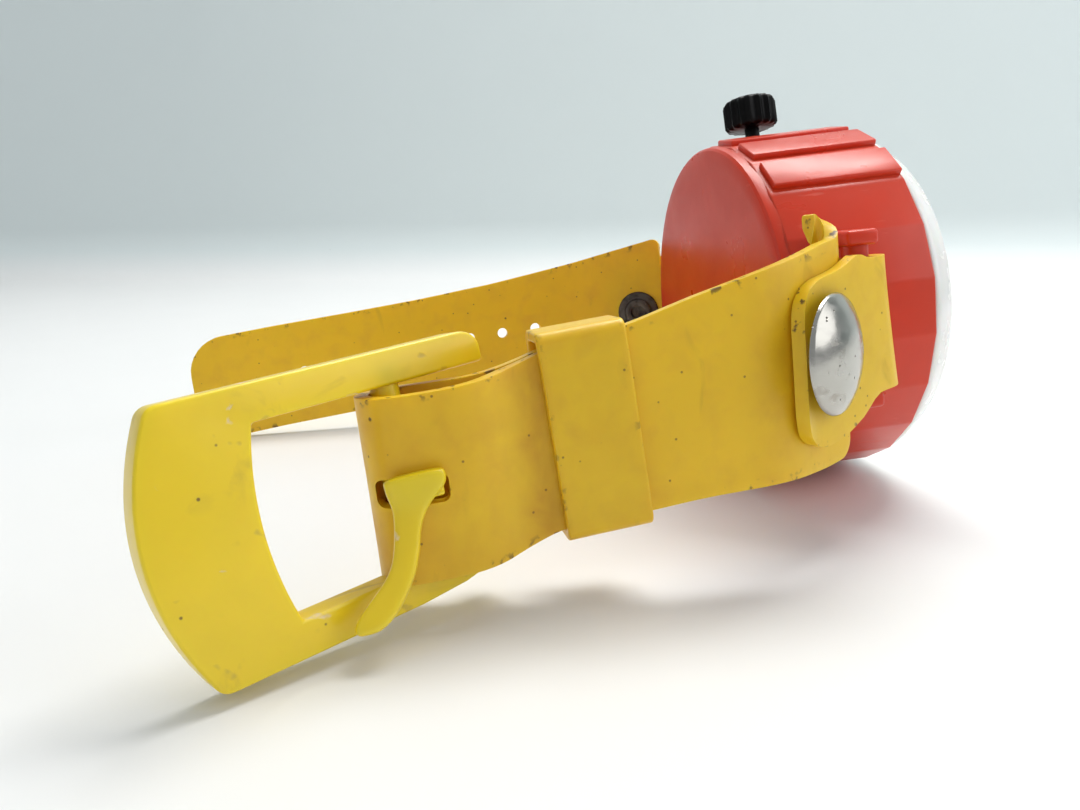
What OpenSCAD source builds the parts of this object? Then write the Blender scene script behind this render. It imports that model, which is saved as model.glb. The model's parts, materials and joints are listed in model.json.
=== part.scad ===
// Toy wristwatch with a faceted plastic case, turning hands and a two-piece vinyl strap.
// Each piece is drawn on the bench frame: the case lies on its back with the dial up, the
// strap halves hang down along -Z and the winding knob points near +Y. The lie() module
// then turns the whole watch onto its side, as it rests on a table.

/* [Case] */
// Radius of the case to the corners of its facets
case_r = 25.5; // [24:0.1:28]
// Flat facets round the side, which keep a facet under each lug
facet_count = 22; // [18:4:26]
// Depth of the case from its back to the front edge of its side
case_depth = 21; // [20.5:0.1:24]
// Growth of the case radius from its back to its front
case_draft = 0.5; // [0:0.1:0.8]
// Thickness of the back
back_wall = 2; // [1.6:0.1:2.4]
// Radius of the hollow inside the case
cavity_r = 22.6; // [22.2:0.1:23]
// Radius of the round rim band at the back
rim_r = 25; // [23:0.1:25]
// Height of the round rim band
rim_h = 1.6; // [1:0.1:2.4]
// Width of the bevel on the edge of the back
rim_bevel = 0.8; // [0.3:0.1:1.2]
// Height of the raised pads beside the knob
pad_h = 0.5; // [0.2:0.1:1]
// Raised pads on each side of the knob facet
pad_count = 2; // [1:1:3]

/* [Lugs] */
// Distance of a lug bar from the middle of the case
lug_x = 29; // [28.5:0.1:30]
// Height of the lug bars above the back
lug_z = 7.5; // [6.5:0.1:9]
// Radius of the round lug bars
lug_bar_r = 1.6; // [1.2:0.1:1.8]
// Width between the posts of a lug
lug_gap = 18.2; // [16:0.1:18.4]
// Thickness of a lug post
lug_post_t = 1.9; // [1.6:0.1:3]
// Size of a lug post along the strap
lug_post_w = 4.2; // [3.6:0.1:4.6]
// How far a lug post reaches past the bar's axis
lug_reach = 2.2; // [1.8:0.1:2.6]

/* [Bezel and crystal] */
// Radius of the front edge of the bezel
bezel_top_r = 23.2; // [22:0.1:24]
// Height of the bezel in front of the case
bezel_h = 3.9; // [3:0.1:5]
// Radius of the opening in the bezel
bezel_hole_r = 20.4; // [19:0.1:20.8]
// Thickness of the clear crystal
crystal_t = 0.8; // [0.5:0.1:1]
// Rise of the domed crystal over its flange
crystal_rise = 1.8; // [1:0.1:3]

/* [Knob] */
// Radius of the winding knob
knob_r = 4; // [3:0.1:5]
// Height of the winding knob
knob_h = 4.6; // [3.5:0.1:6]
// Gap between the case side and the knob
knob_gap = 2.7; // [1.5:0.1:4]
// Flutes round the knob
knob_flutes = 16; // [10:1:24]
// Radius of the knob's stem
stem_r = 1.1; // [0.9:0.05:1.3]

/* [Movement] */
// Height of the stem above the back
stem_z = 10.4; // [10:0.1:10.8]
// Radius of the arbor that carries the minute hand
arbor_r = 0.9; // [0.7:0.05:1.1]
// Distance from the arbor to the post of the reduction gear
train_gap = 10; // [9:0.1:10.5]
// Length of the minute hand
minute_len = 16; // [12:0.5:18]
// Length of the hour hand
hour_len = 11; // [8:0.5:13]

/* [Strap] */
// Thickness of the strap material
strap_t = 1.5; // [1:0.1:1.6]
// Width of the strap along its parallel stretch
strap_w = 19.6; // [17:0.2:20]
// Width of the long half's tail
tail_w = 19.2; // [16:0.2:20]
// Width of the strap at its shoulder beside the lug
shoulder_w = 27.2; // [22:0.2:28]
// Width of the rounded flap that wraps the lug bar
flap_w = 19.4; // [18:0.2:22]
// Length of the flap past the lug bar
flap_len = 17.4; // [16.6:0.2:20]
// Angle at which the buckle half splays out from its lug
short_splay = 27; // [20:1:32]
// Angle at which the long half splays out from its lug
long_splay = 25; // [15:1:30]
// Sideways sag of the buckle half as it lies
short_sag = 9.6; // [5:0.2:12]
// Sideways sag of the long half as it lies
long_sag = 7; // [3:0.2:10]
// Straight run of the buckle half between its bend and its fold
short_run = 23.8; // [21:0.2:30]
// Length of the curved tail of the long half
tail_len = 51.5; // [46:0.5:62]
// Adjustment holes in the long half
hole_count = 8; // [5:1:8]
// Distance between adjustment holes
hole_pitch = 6.5; // [5.5:0.1:6.5]
// Radius of an adjustment hole
hole_r = 1; // [0.7:0.05:1.3]

/* [Rivets] */
// Distance of the buckle half's rivet from its lug bar
short_rivet_at = 9.1; // [8.4:0.1:9.4]
// Distance of the long half's rivet from its lug bar
long_rivet_at = 10.2; // [8.4:0.1:10.6]
// Lean of the rivet in the buckle half
short_lean = 7; // [0:0.5:8]
// Radius of the domed rivet cap
cap_r = 7.25; // [6:0.05:7.6]
// Height of the domed rivet cap
cap_h = 2; // [1.4:0.1:3]
// Radius of the rivet's post
post_r = 1.5; // [1.2:0.05:1.8]
// Radius of the rivet's inner socket
socket_r = 3.4; // [3:0.1:3.4]

/* [Keeper] */
// Width of the keeper along the strap
keeper_len = 9.7; // [8:0.1:11]
// Thickness of the keeper's wall
keeper_t = 1.15; // [1:0.05:1.6]
// Depth of the slot through the keeper
keeper_slot = 4.9; // [4.4:0.1:5.6]

/* [Buckle] */
// Outer width of the buckle frame
buckle_w = 26.6; // [26:0.2:30]
// Width of the buckle's window
buckle_window = 21.1; // [21:0.1:22]
// Thickness of the buckle frame
buckle_t = 3.6; // [3:0.1:4]
// Distance from the bar to the corners of the front plate
buckle_len = 25.4; // [20:0.1:28]
// Width of the front plate at its corners
plate_w = 10.6; // [7:0.1:12]
// Outward bow of the front plate's outer edge
plate_bow = 3.7; // [2:0.1:5]
// Outward bow of the window's far edge
window_bow = 1.8; // [0.5:0.1:2.5]
// Length of the arms behind the bar
arm_tail = 12.4; // [8:0.1:12.4]
// Radius of the buckle's bar
buckle_bar_r = 1.5; // [1.2:0.1:1.6]
// Angle at which the buckle stands open
buckle_open = 29; // [10:1:35]
// Sideways lean of the buckle in its fold
buckle_lean = 5; // [0:0.5:5]
// Tip of the buckle towards its front plate
buckle_tip = 3; // [0:0.5:3]
// Width of the tongue's shank
tongue_w = 3.2; // [2.4:0.1:4]
// Thickness of the tongue
tongue_t = 1.7; // [1.2:0.1:2]
// Height of the tongue's root, across the strap
tongue_root = 2.3; // [1.8:0.1:2.5]
// Length that the tongue hangs down
tongue_drop = 12.5; // [10:0.1:13]

/* [Hidden] */

// Facets of round faces
$fn = 64;
// Overrun of cuts and overlap of joined shapes
over = 0.5;
// Running clearance of shafts, on the radius
run_fit = 0.05;
// Clearance of pieces that are laid in place
seat_fit = 0.1;
// Clearance between the strap and what it wraps or passes
wrap_fit = 0.25;
// Largest turn between two points of a bend
bend_step = 9;

// Case
facet = 360 / facet_count;
apothem = case_r * cos(facet / 2);
knob_angle = 90 - facet / 2;
pad_inset = 0.4;
pad_back = rim_h + 0.9;
boss_r = 1.9;
boss_circle = 17.6;
boss_angles = [20, 140, 260];
pivot_r = 2.2;
pivot_top = back_wall + 4;
cradle_in = 3.9;
cradle_t = 1.5;
cradle_w = 4.4;
cradle_over = 1.9;
lug_corner = 1;

// Gears of the movement: a module is the pitch diameter divided by the teeth
pressure = 25;
addendum_share = 0.8;
dedendum_share = 1.05;
backlash = 0.12;
pinion_teeth = 8;
contrate_teeth = 24;
cannon_teeth = 12;
wheel_teeth = 36;
small_teeth = 10;
hour_teeth = 40;
contrate_module = 0.6;
motion_module = 2 * train_gap / (cannon_teeth + wheel_teeth);
hour_module = 2 * train_gap / (small_teeth + hour_teeth);
pinion_pitch_r = contrate_module * pinion_teeth / 2;
contrate_pitch_r = contrate_module * contrate_teeth / 2;
train_angle = 200;

// Heights of the movement above the back
contrate_tip_z = stem_z + pinion_pitch_r - 0.45;
contrate_root_z = stem_z + pinion_pitch_r + 0.8;
contrate_t = 1.4;
plate_z = contrate_root_z + contrate_t + 0.6;
plate_t = 1.2;
motion_z = plate_z + plate_t + 0.25;
motion_t = 0.95;
small_top_z = motion_z + motion_t + 1.15;
hour_z = motion_z + motion_t + 0.35;
hour_t = 0.8;
dial_z = small_top_z + 0.65;
dial_t = 0.7;
hour_tube_r = 1.9;
hand_t = 0.4;
hour_hand_z = dial_z + dial_t + 0.4;
minute_hand_z = hour_hand_z + hand_t + 0.6;
arbor_top_z = minute_hand_z + hand_t + 0.2;
plate_r = 21;
plate_rim_r = 19.6;
train_post_r = 0.7;
screw_r = 0.7;
screw_head_r = 1.5;
screw_head_h = 0.9;
screw_len = 6;

// Bezel and crystal
bezel_skirt_z = dial_z - 2.3;
bezel_skirt_r = cavity_r - seat_fit;
bezel_bore_r = plate_r + 0.2;
bezel_edge_r = apothem;
bezel_edge_h = 0.8;
bezel_lip = 0.8;
bezel_top_z = case_depth + bezel_h;
crystal_r = bezel_bore_r - seat_fit;
crystal_z = bezel_top_z - bezel_lip - crystal_t;
crystal_dome_r = (pow(bezel_hole_r - seat_fit, 2) + pow(crystal_rise, 2)) / (2 * crystal_rise);

// Knob and stem, measured out from the middle of the case
bush_in = cavity_r - 0.4;
bush_r = 1.9;
knob_in = apothem + knob_gap;
stem_in = cradle_in + 0.2;
stem_out = knob_in + 3;
knob_round = 0.9;
flute_share = 0.13;
clip_t = 1;
clip_r = 2.2;
pinion_in = 6.9;
pinion_out = 8.3;

// Strap ends: the flap wraps the lug bar and lies on the main layer
wrap_r = lug_bar_r + wrap_fit + strap_t / 2;
layer_gap = 0.1;
main_b = wrap_r - strap_t - layer_gap;
merge_start = 0.5;
merge_run = 5;
rivet_run = 14;
neck_w = lug_gap - 1.8;
neck_end = lug_post_w / 2 + wrap_fit;
shoulder_start = 2.8;
shoulder_round = 1.6;
short_sag_shares = [[-2, 0.05], [1.5, 0.06], [2.4, 0.09], [4, 0.22], [7.5, 0.33], [12, 0.385], [17, 0.435],
    [25, 0.54], [32, 0.665], [41, 0.75], [45, 0.885], [49, 0.965], [55, 1]];
long_sag_shares = [[0, 0.03], [2.4, 0.06], [5, 0.12], [12, 0.2], [20, 0.29], [32, 0.35], [41, 0.4], [51, 0.53], [65, 0.66],
    [79, 0.77], [94, 0.93], [110, 1.1]];
taper_shares = [[3, 1], [29, 0.25], [31.6, 0]];
bar_shift = 0.3;
bar_low = -0.1;
bend_len = 7;
bulge_len = 5.5;
bulge_turn = 36;
fold_run = 4.4;
fold_r = buckle_bar_r + wrap_fit + 1.05 + strap_t / 2;
return_len = 5;
return_turn = 20;
return_end = 9;
slot_h = tongue_root + 1.4;
slot_back = 6.2;
slot_front = 3.4;
first_hole = 21;
tail_round = 6.4;
long_bend_len = 32;
long_bend_turn = 23;
tail_turn = 6;

// Buckle and tongue
arm_round = 1.5;
plate_round = 2.2;
eye_r = buckle_bar_r + run_fit + 0.85;
keeper_round = 1.1;
keeper_inner_h = strap_w + 2;
keeper_at = 29.5;

red = [0.80, 0.13, 0.09];
white = [0.93, 0.93, 0.91];
amber = [0.87, 0.68, 0.16];
lemon = [0.93, 0.87, 0.12];
black = [0.05, 0.05, 0.05];
nickel = [0.72, 0.72, 0.70];
nylon = [0.86, 0.85, 0.80];

// Direction of a heading in a plan drawing
function heading(h) = [cos(h), sin(h)];

// Points of a route of bends and straights, each leg given as its length and its turn
function leg_point(p, h, run, turn, t) = turn == 0
    ? p + run * t * heading(h)
    : let (r = run / (turn * PI / 180)) p + r * [sin(h + turn * t) - sin(h), cos(h) - cos(h + turn * t)];
function leg_steps(turn) = turn == 0 ? 1 : max(2, ceil(abs(turn) / bend_step));
function walk(p, h, legs, i = 0) = i == len(legs)
    ? [[p, h]]
    : let (run = legs[i][0], turn = legs[i][1], n = leg_steps(turn))
        concat([for (k = [0:n - 1]) [leg_point(p, h, run, turn, k / n), h + turn * k / n]],
            walk(leg_point(p, h, run, turn, 1), h + turn, legs, i + 1));
function last(list) = list[len(list) - 1];

// Outline of a band of even thickness along a route
function side_line(route, d) = [for (s = route) s[0] + d * heading(s[1] + 90)];
function reversed(list) = [for (i = [len(list) - 1:-1:0]) list[i]];
function band(route, t) = concat(side_line(route, t / 2), reversed(side_line(route, -t / 2)));

// Outline with rounded corners: each corner is its place and its radius
function unit(v) = v / norm(v);
function corner_points(a, b, c, r, n) = let (
        u = unit(a - b),
        w = unit(c - b),
        half = acos(u * w) / 2,
        mid = b + unit(u + w) * r / sin(half),
        start = b + u * r / tan(half) - mid,
        stop = b + w * r / tan(half) - mid,
        a0 = atan2(start[1], start[0]),
        sweep = (atan2(stop[1], stop[0]) - a0 + 900) % 360 - 180)
    [for (k = [0:n]) mid + r * heading(a0 + sweep * k / n)];
function rounded(corners, n = 5) = let (m = len(corners)) [for (i = [0:m - 1])
    each corners[i][1] == 0 ? [corners[i][0]] :
        corner_points(corners[(i + m - 1) % m][0], corners[i][0], corners[(i + 1) % m][0], corners[i][1], n)];

// Points of a shallow arc between two ends, bowed by a rise
function bowed(a, b, rise, n = 10) = let (d = b - a, side = unit([d[1], -d[0]]))
    [for (k = [0:n]) let (t = 2 * k / n - 1) a + d * k / n + side * rise * (1 - t * t)];

// Outline of a spur gear with involute flanks
function involute(a) = tan(a) * 180 / PI - a;
function gear_points(teeth, m, slack = backlash) = let (
        r = m * teeth / 2,
        base = r * cos(pressure),
        tip = r + addendum_share * m,
        root = r - dedendum_share * m,
        low = max(base, root),
        half = 90 / teeth - slack / 2 / r * 180 / PI + involute(pressure),
        radii = [root, low, (low + tip) / 2, tip],
        angles = [for (q = radii) half - involute(acos(min(1, base / max(q, low))))])
    [for (i = [0:teeth - 1])
        each concat([for (k = [0:3]) radii[k] * heading(360 * i / teeth - angles[k])],
            [for (k = [3:-1:0]) radii[k] * heading(360 * i / teeth + angles[k])])];

// Sideways sag of a strap at a distance below its lug bar
function sag(d, depth, shares) = -depth * lookup(d, shares);

// Half width of a strap at a distance below its lug bar
function half_width(d, w) = (w + (shoulder_w - w) * lookup(d, taper_shares)) / 2;

// Routes of the strap's middle surface, from the lug bar: x runs down the strap, y outwards
merge_turn = 2 * atan((main_b + wrap_r) / merge_run);
merge_arc = merge_run / 2 / sin(merge_turn) * merge_turn * PI / 180;
merge_legs = [[merge_start, 0], [merge_arc, merge_turn], [merge_arc, -merge_turn]];
rivet_leg = rivet_run - merge_start - merge_run;
inner_start = [0, -wrap_r];
short_legs = concat(merge_legs, [[rivet_leg, 0], [bend_len, -short_splay], [short_run, 0],
    [bulge_len, bulge_turn], [bulge_len, -bulge_turn], [fold_run, 0]]);
short_route = walk(inner_start, 0, short_legs);
fold_start = last(short_route);
fold_legs = [[PI * fold_r, -180], [return_len, -return_turn], [return_len, return_turn], [return_end, 0]];
short_full_route = concat(short_route, walk(fold_start[0], fold_start[1], fold_legs));
long_legs = concat(merge_legs, [[rivet_leg, 0], [long_bend_len, -long_bend_turn], [tail_len, -tail_turn]]);
long_route = walk(inner_start, 0, long_legs);
flap_route = walk([flap_len, wrap_r], 180, [[flap_len, 0], [PI * wrap_r, 180], [merge_start, 0],
    [merge_arc, merge_turn]]);

// Bench frame of a point of a strap route, for the half at -X
function to_bench(p, splay) = [-lug_x, lug_z] + p[0] * [-sin(splay), -cos(splay)]
    + p[1] * [-cos(splay), sin(splay)];
fold_mid = to_bench(fold_start[0] + fold_r * heading(fold_start[1] - 90), short_splay);
buckle_bar = fold_mid - [0, bar_shift];
fold_drop = sag(lug_z - fold_mid[1], short_sag, short_sag_shares);
buckle_drop = fold_drop - bar_low;
bend_end = walk(inner_start, 0, concat(merge_legs, [[rivet_leg, 0], [bend_len, -short_splay]]));
keeper_x = to_bench(last(bend_end)[0], short_splay)[0];
keeper_d = lug_z + keeper_at;
tail_end = to_bench(last(long_route)[0], long_splay);

// Rest on the table: the plane under the case, the buckle's corner and the tail's corner
foot_case = [0, case_draft / 2 - case_r, rim_h];
function turned(p, q, a) = [p * cos(a) - q * sin(a), p * sin(a) + q * cos(a)];
function buckle_point(p) = let (
        tipped = turned(p[1], p[2], -buckle_tip),
        leaned = turned(p[0], tipped[0], -buckle_lean),
        opened = turned(tipped[1], leaned[0], buckle_open))
    [buckle_bar[0] + opened[1], buckle_drop + leaned[1], buckle_bar[1] + opened[0]];
foot_buckle = buckle_point([buckle_t, -buckle_w, 2 * (plate_round - buckle_len)] / 2);
foot_tail = [-tail_end[0], sag(lug_z - tail_end[1], long_sag, long_sag_shares) - tail_w / 2,
    tail_end[1] + tail_round];
foot_normal = unit(cross(foot_buckle - foot_case, foot_tail - foot_case));
up = foot_normal[1] > 0 ? foot_normal : -foot_normal;
rest_tilt = -asin(up[2]);
rest_roll = -atan2(up[0], up[1]);

// Place on the table of a bench point, before the watch is moved over the origin
function lain(p) = let (
        x = p[0] * cos(rest_roll) + p[1] * sin(rest_roll),
        z = p[1] * cos(rest_roll) - p[0] * sin(rest_roll))
    [x, -p[2] * cos(rest_tilt) - z * sin(rest_tilt), z * cos(rest_tilt) - p[2] * sin(rest_tilt)];
plate_edge = [for (k = [-1:0.25:1]) lain(buckle_point([-buckle_t / 2, k * buckle_w / 2,
    plate_round - buckle_len - plate_bow * (1 - k * k)]))];
tail_edge = [for (p = side_line(long_route, strap_t / 2)) let (e = to_bench(p, long_splay), d = lug_z - e[1])
    lain([-e[0], sag(d, long_sag, long_sag_shares) + half_width(d, tail_w), e[1]])];
tail_top = lain([-tail_end[0], sag(lug_z - tail_end[1], long_sag, long_sag_shares) + tail_w / 2 - tail_round,
    tail_end[1]]);
bezel_foot = lain([0, -bezel_top_r, bezel_top_z]);
table_origin = [(min([for (p = plate_edge) p[0]]) + max([for (p = tail_edge) p[0]])) / 2,
    (bezel_foot[1] + tail_top[1]) / 2, lain(foot_case)[2]];

// The whole watch, turned from the bench onto its side
module lie() {
    translate(-table_origin) rotate([rest_tilt, 0, 0]) rotate([0, rest_roll, 0]) rotate([90, 0, 0]) children();
}

// Extrudes a plan drawing of x and z across the strap's width
module across(width) {
    rotate([90, 0, 0]) linear_extrude(width, center = true) children();
}

// Extrudes a side view of y and z along x
module sideways(depth) {
    rotate([90, 0, 90]) linear_extrude(depth, center = true) children();
}

// Turns a piece that points along +X out to the knob
module knob_way() {
    rotate([0, 0, knob_angle]) translate([0, 0, stem_z]) rotate([0, 90, 0]) children();
}

// Ring about Z
module tube(r_out, r_in, z0, z1) {
    translate([0, 0, z0]) difference() {
        cylinder(r = r_out, h = z1 - z0);
        translate([0, 0, -over]) cylinder(r = r_in, h = z1 - z0 + 2 * over);
    }
}

module facet_prism(r0, r1, z0, z1) {
    translate([0, 0, z0]) linear_extrude(z1 - z0, scale = r1 / r0)
        polygon([for (i = [0:facet_count - 1]) r0 * heading(90 + i * facet)]);
}

// One raised pad over a facet, counted from the knob facet
module pad(i) {
    half = case_r * sin(facet / 2) - pad_inset;
    rotate([0, 0, knob_angle + i * facet]) translate([apothem - over, 0, 0])
        rotate([0, 90, 0]) linear_extrude(over + pad_h)
        polygon(rounded([[[-pad_back, -half], pad_inset * 2], [[-case_depth, -half], 0],
            [[-case_depth, half], 0], [[-pad_back, half], pad_inset * 2]]));
}

module lug() {
    foot_x = sqrt(pow(cavity_r, 2) - pow(lug_gap / 2, 2)) + over;
    tip_x = lug_x + lug_reach;
    low_z = lug_z - lug_post_w / 2;
    high_z = lug_z + lug_post_w / 2;
    for (side = [-1, 1]) translate([0, side * (lug_gap + lug_post_t) / 2, 0]) across(lug_post_t)
        polygon(rounded([[[foot_x, low_z], 0], [[tip_x, low_z], lug_corner],
            [[tip_x, high_z], lug_corner], [[foot_x, high_z], 0]]));
    translate([lug_x, 0, lug_z]) rotate([90, 0, 0])
        cylinder(r = lug_bar_r, h = lug_gap + lug_post_t, center = true);
}

module case_cup() lie() color(red) {
    difference() {
        union() {
            facet_prism(case_r - case_draft / 2, case_r + case_draft / 2, rim_h, case_depth);
            rotate_extrude() polygon([[0, 0], [rim_r - rim_bevel, 0], [rim_r, rim_bevel],
                [rim_r, rim_h + over], [0, rim_h + over]]);
            for (side = [-1, 1], i = [1:pad_count]) pad(side * i);
            lug();
            mirror([1, 0, 0]) lug();
        }
        translate([0, 0, back_wall]) cylinder(r = cavity_r, h = case_depth);
        knob_way() cylinder(r = bush_r + run_fit, h = case_r + over);
    }
    for (a = boss_angles) rotate([0, 0, a]) translate([boss_circle, 0, back_wall - over]) difference() {
        cylinder(r = boss_r, h = plate_z - back_wall + over);
        translate([0, 0, plate_z - back_wall + over - screw_len]) cylinder(r = screw_r, h = screw_len + over);
    }
    tube(pivot_r, arbor_r + run_fit, back_wall - over, pivot_top);
    difference() {
        rotate([0, 0, knob_angle]) translate([cradle_in, -cradle_w / 2, back_wall - over])
            cube([cradle_t, cradle_w, stem_z + cradle_over - back_wall + over]);
        knob_way() cylinder(r = stem_r + run_fit, h = case_r);
    }
}

module bezel() lie() color(white) rotate_extrude() polygon([[bezel_bore_r, bezel_skirt_z],
    [bezel_skirt_r, bezel_skirt_z], [bezel_skirt_r, case_depth], [bezel_edge_r, case_depth],
    [bezel_edge_r, case_depth + bezel_edge_h], [bezel_top_r, bezel_top_z], [bezel_hole_r, bezel_top_z],
    [bezel_hole_r, bezel_top_z - bezel_lip], [bezel_bore_r, bezel_top_z - bezel_lip]]);

module crystal() lie() color([0.9, 0.95, 1, 0.3]) {
    dome_z = bezel_top_z - bezel_lip + crystal_rise - crystal_dome_r;
    difference() {
        union() {
            translate([0, 0, crystal_z]) cylinder(r = crystal_r, h = crystal_t);
            intersection() {
                translate([0, 0, dome_z]) sphere(r = crystal_dome_r, $fn = 128);
                translate([0, 0, crystal_z]) cylinder(r = bezel_hole_r - seat_fit, h = crystal_rise + crystal_t);
            }
        }
        intersection() {
            translate([0, 0, dome_z]) sphere(r = crystal_dome_r - crystal_t, $fn = 128);
            translate([0, 0, crystal_z - over])
                cylinder(r = bezel_hole_r - crystal_t, h = crystal_rise + crystal_t);
        }
    }
}

module dial() lie() color(white) tube(plate_r, hour_tube_r + wrap_fit, dial_z, dial_z + dial_t);

module movement_plate() lie() color(nylon) {
    difference() {
        union() {
            translate([0, 0, plate_z]) cylinder(r = plate_r, h = plate_t);
            tube(plate_r, plate_rim_r, plate_z, dial_z);
        }
        translate([0, 0, plate_z - over]) cylinder(r = arbor_r + run_fit, h = plate_t + 2 * over);
        for (a = boss_angles) rotate([0, 0, a]) translate([boss_circle, 0, plate_z - over])
            cylinder(r = screw_r + run_fit, h = plate_t + 2 * over);
    }
    rotate([0, 0, train_angle]) translate([train_gap, 0, plate_z + plate_t - over])
        cylinder(r = train_post_r, h = small_top_z + run_fit - plate_z - plate_t + over);
}

module plate_screws() lie() color(nickel) for (a = boss_angles)
    rotate([0, 0, a]) translate([boss_circle, 0, plate_z + plate_t]) difference() {
        union() {
            cylinder(r = screw_head_r, h = screw_head_h);
            translate([0, 0, over - screw_len]) cylinder(r = screw_r - run_fit, h = screw_len);
        }
        translate([0, 0, screw_head_h]) cube([2 * screw_head_r + over, screw_r / 2, screw_head_h], center = true);
    }

module stem_bush() lie() color(black) knob_way() tube(bush_r, stem_r + run_fit, bush_in, apothem);

module crown_knob() lie() color(black) knob_way() difference() {
    translate([0, 0, knob_in]) rotate_extrude() polygon([[0, 0], [knob_r - knob_round / 2, 0],
        [knob_r, knob_round / 2], [knob_r, knob_h - knob_round], [knob_r - knob_round, knob_h], [0, knob_h]]);
    for (i = [0:knob_flutes - 1]) rotate([0, 0, i * 360 / knob_flutes])
        translate([knob_r * (1 + flute_share / 2), 0, knob_in - over])
        cylinder(r = knob_r * flute_share, h = knob_h + 2 * over, $fn = 24);
    translate([0, 0, knob_in - over]) cylinder(r = stem_r + run_fit, h = stem_out - knob_in + run_fit + over);
}

module crown_stem() lie() color(black) knob_way() translate([0, 0, stem_in])
    cylinder(r = stem_r, h = stem_out - stem_in);

module stem_clip() lie() color(nickel) knob_way()
    tube(clip_r, stem_r, bush_in - wrap_fit - clip_t, bush_in - wrap_fit);

module stem_pinion() lie() color(nylon) knob_way() translate([0, 0, pinion_in]) difference() {
    linear_extrude(pinion_out - pinion_in) polygon(gear_points(pinion_teeth, contrate_module, 2 * backlash));
    translate([0, 0, -over]) cylinder(r = stem_r, h = pinion_out - pinion_in + 2 * over);
}

module centre_arbor() lie() color(nickel) translate([0, 0, back_wall + run_fit])
    cylinder(r = arbor_r, h = arbor_top_z - back_wall - run_fit);

// Wheel with teeth on its back face, which the stem's pinion turns
module contrate_wheel() lie() color(nylon) {
    face_in = pinion_in - 2 * seat_fit;
    face_w = pinion_out + 2 * seat_fit - face_in;
    tooth = PI * contrate_module / 2 - 2 * backlash;
    tube(face_in + face_w, arbor_r, contrate_root_z, contrate_root_z + contrate_t);
    for (i = [0:contrate_teeth - 1]) rotate([0, 0, knob_angle + (i + 1 / 2) * 360 / contrate_teeth])
        translate([face_in, 0, contrate_tip_z]) rotate([0, 90, 0]) linear_extrude(face_w)
        polygon([[0, -tooth / 3], [0, tooth / 3], [contrate_tip_z - contrate_root_z - over, tooth / 2],
            [contrate_tip_z - contrate_root_z - over, -tooth / 2]]);
}

module spur(teeth, m, bore, z0, z1, turned) {
    translate([0, 0, z0]) difference() {
        rotate([0, 0, turned]) linear_extrude(z1 - z0) polygon(gear_points(teeth, m));
        translate([0, 0, -over]) cylinder(r = bore, h = z1 - z0 + 2 * over);
    }
}

module cannon_pinion() lie() color(nickel)
    spur(cannon_teeth, motion_module, arbor_r, motion_z, motion_z + motion_t, train_angle);

module reduction_gear() lie() color(nylon) rotate([0, 0, train_angle]) translate([train_gap, 0, 0]) {
    spur(wheel_teeth, motion_module, train_post_r + run_fit, motion_z, motion_z + motion_t,
        180 + 180 / wheel_teeth);
    spur(small_teeth, hour_module, train_post_r + run_fit, motion_z + motion_t, small_top_z, 180);
}

module hour_wheel() lie() color(nylon) {
    spur(hour_teeth, hour_module, arbor_r + seat_fit, hour_z, hour_z + hour_t,
        train_angle + 180 / hour_teeth);
    tube(hour_tube_r, arbor_r + seat_fit, hour_z + hour_t, hour_hand_z + hand_t);
}

// Tapered hand with a round boss
module hand(length, width, bore, z) {
    translate([0, 0, z]) difference() {
        linear_extrude(hand_t) union() {
            circle(r = bore + width / 2);
            polygon([[-width / 2, -length / 5], [width / 2, -length / 5], [width, length * 3 / 4],
                [0, length], [-width, length * 3 / 4]]);
        }
        translate([0, 0, -over]) cylinder(r = bore, h = hand_t + 2 * over);
    }
}

module hour_hand() lie() color(black) rotate([0, 0, 60]) hand(hour_len, 2, hour_tube_r, hour_hand_z);

module minute_hand() lie() color(black) rotate([0, 0, -60]) hand(minute_len, 1.6, arbor_r, minute_hand_z);

module hand_cap() lie() color(red) translate([0, 0, minute_hand_z + hand_t]) difference() {
    cylinder(r1 = 2 * arbor_r, r2 = arbor_r, h = arbor_r);
    translate([0, 0, -over]) cylinder(r = arbor_r, h = arbor_top_z - minute_hand_z - hand_t + over);
}

// Turns a strap drawing at the lug bar to its splay
module at_splay(splay) {
    translate([-lug_x, 0, lug_z]) rotate([0, splay, 0]) children();
}

// Solid band along a route, which spans the whole width of the case
module band_solid(route, splay) {
    at_splay(splay) across(2 * case_r) rotate([0, 0, -90]) mirror([0, 1]) polygon(band(route, strap_t));
}

// Side view of a strap between two distances below the lug bar, with rounded ends
module strap_side(d_end, w, depth, shares, round_near, round_far, stations = 13) {
    near = [for (k = [0:stations]) shoulder_start + (d_end - shoulder_start) * k / stations];
    left = [for (d = near) [sag(d, depth, shares) - half_width(d, w), lug_z - d]];
    right = [for (d = near) [sag(d, depth, shares) + half_width(d, w), lug_z - d]];
    n = len(near) - 1;
    function ring(i, edge) = [edge[i], i == 0 ? round_near : i == n ? round_far : 0];
    polygon(rounded(concat([for (i = [0:n]) ring(i, left)], [for (i = [n:-1:0]) ring(i, right)])));
}

// Flap that wraps the lug bar: a neck between the posts and a wider rounded end
module flap_side(depth, shares, splay) {
    end_d = flap_len * cos(splay) + wrap_r - wrap_r * sin(splay) - strap_t;
    wide_d = neck_end + flap_w - neck_w;
    function edge(d, half, side) = [sag(d, depth, shares) + side * half, lug_z - d];
    polygon(rounded([[edge(-case_r, neck_w / 2, -1), 0], [edge(neck_end, neck_w / 2, -1), lug_corner],
        [edge(wide_d, flap_w / 2, -1), 2 * lug_corner], [edge(end_d, flap_w / 2, -1), flap_w / 4],
        [edge(end_d, flap_w / 2, 1), flap_w / 4], [edge(wide_d, flap_w / 2, 1), 2 * lug_corner],
        [edge(neck_end, neck_w / 2, 1), lug_corner], [edge(-case_r, neck_w / 2, 1), 0]]));
}

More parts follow.
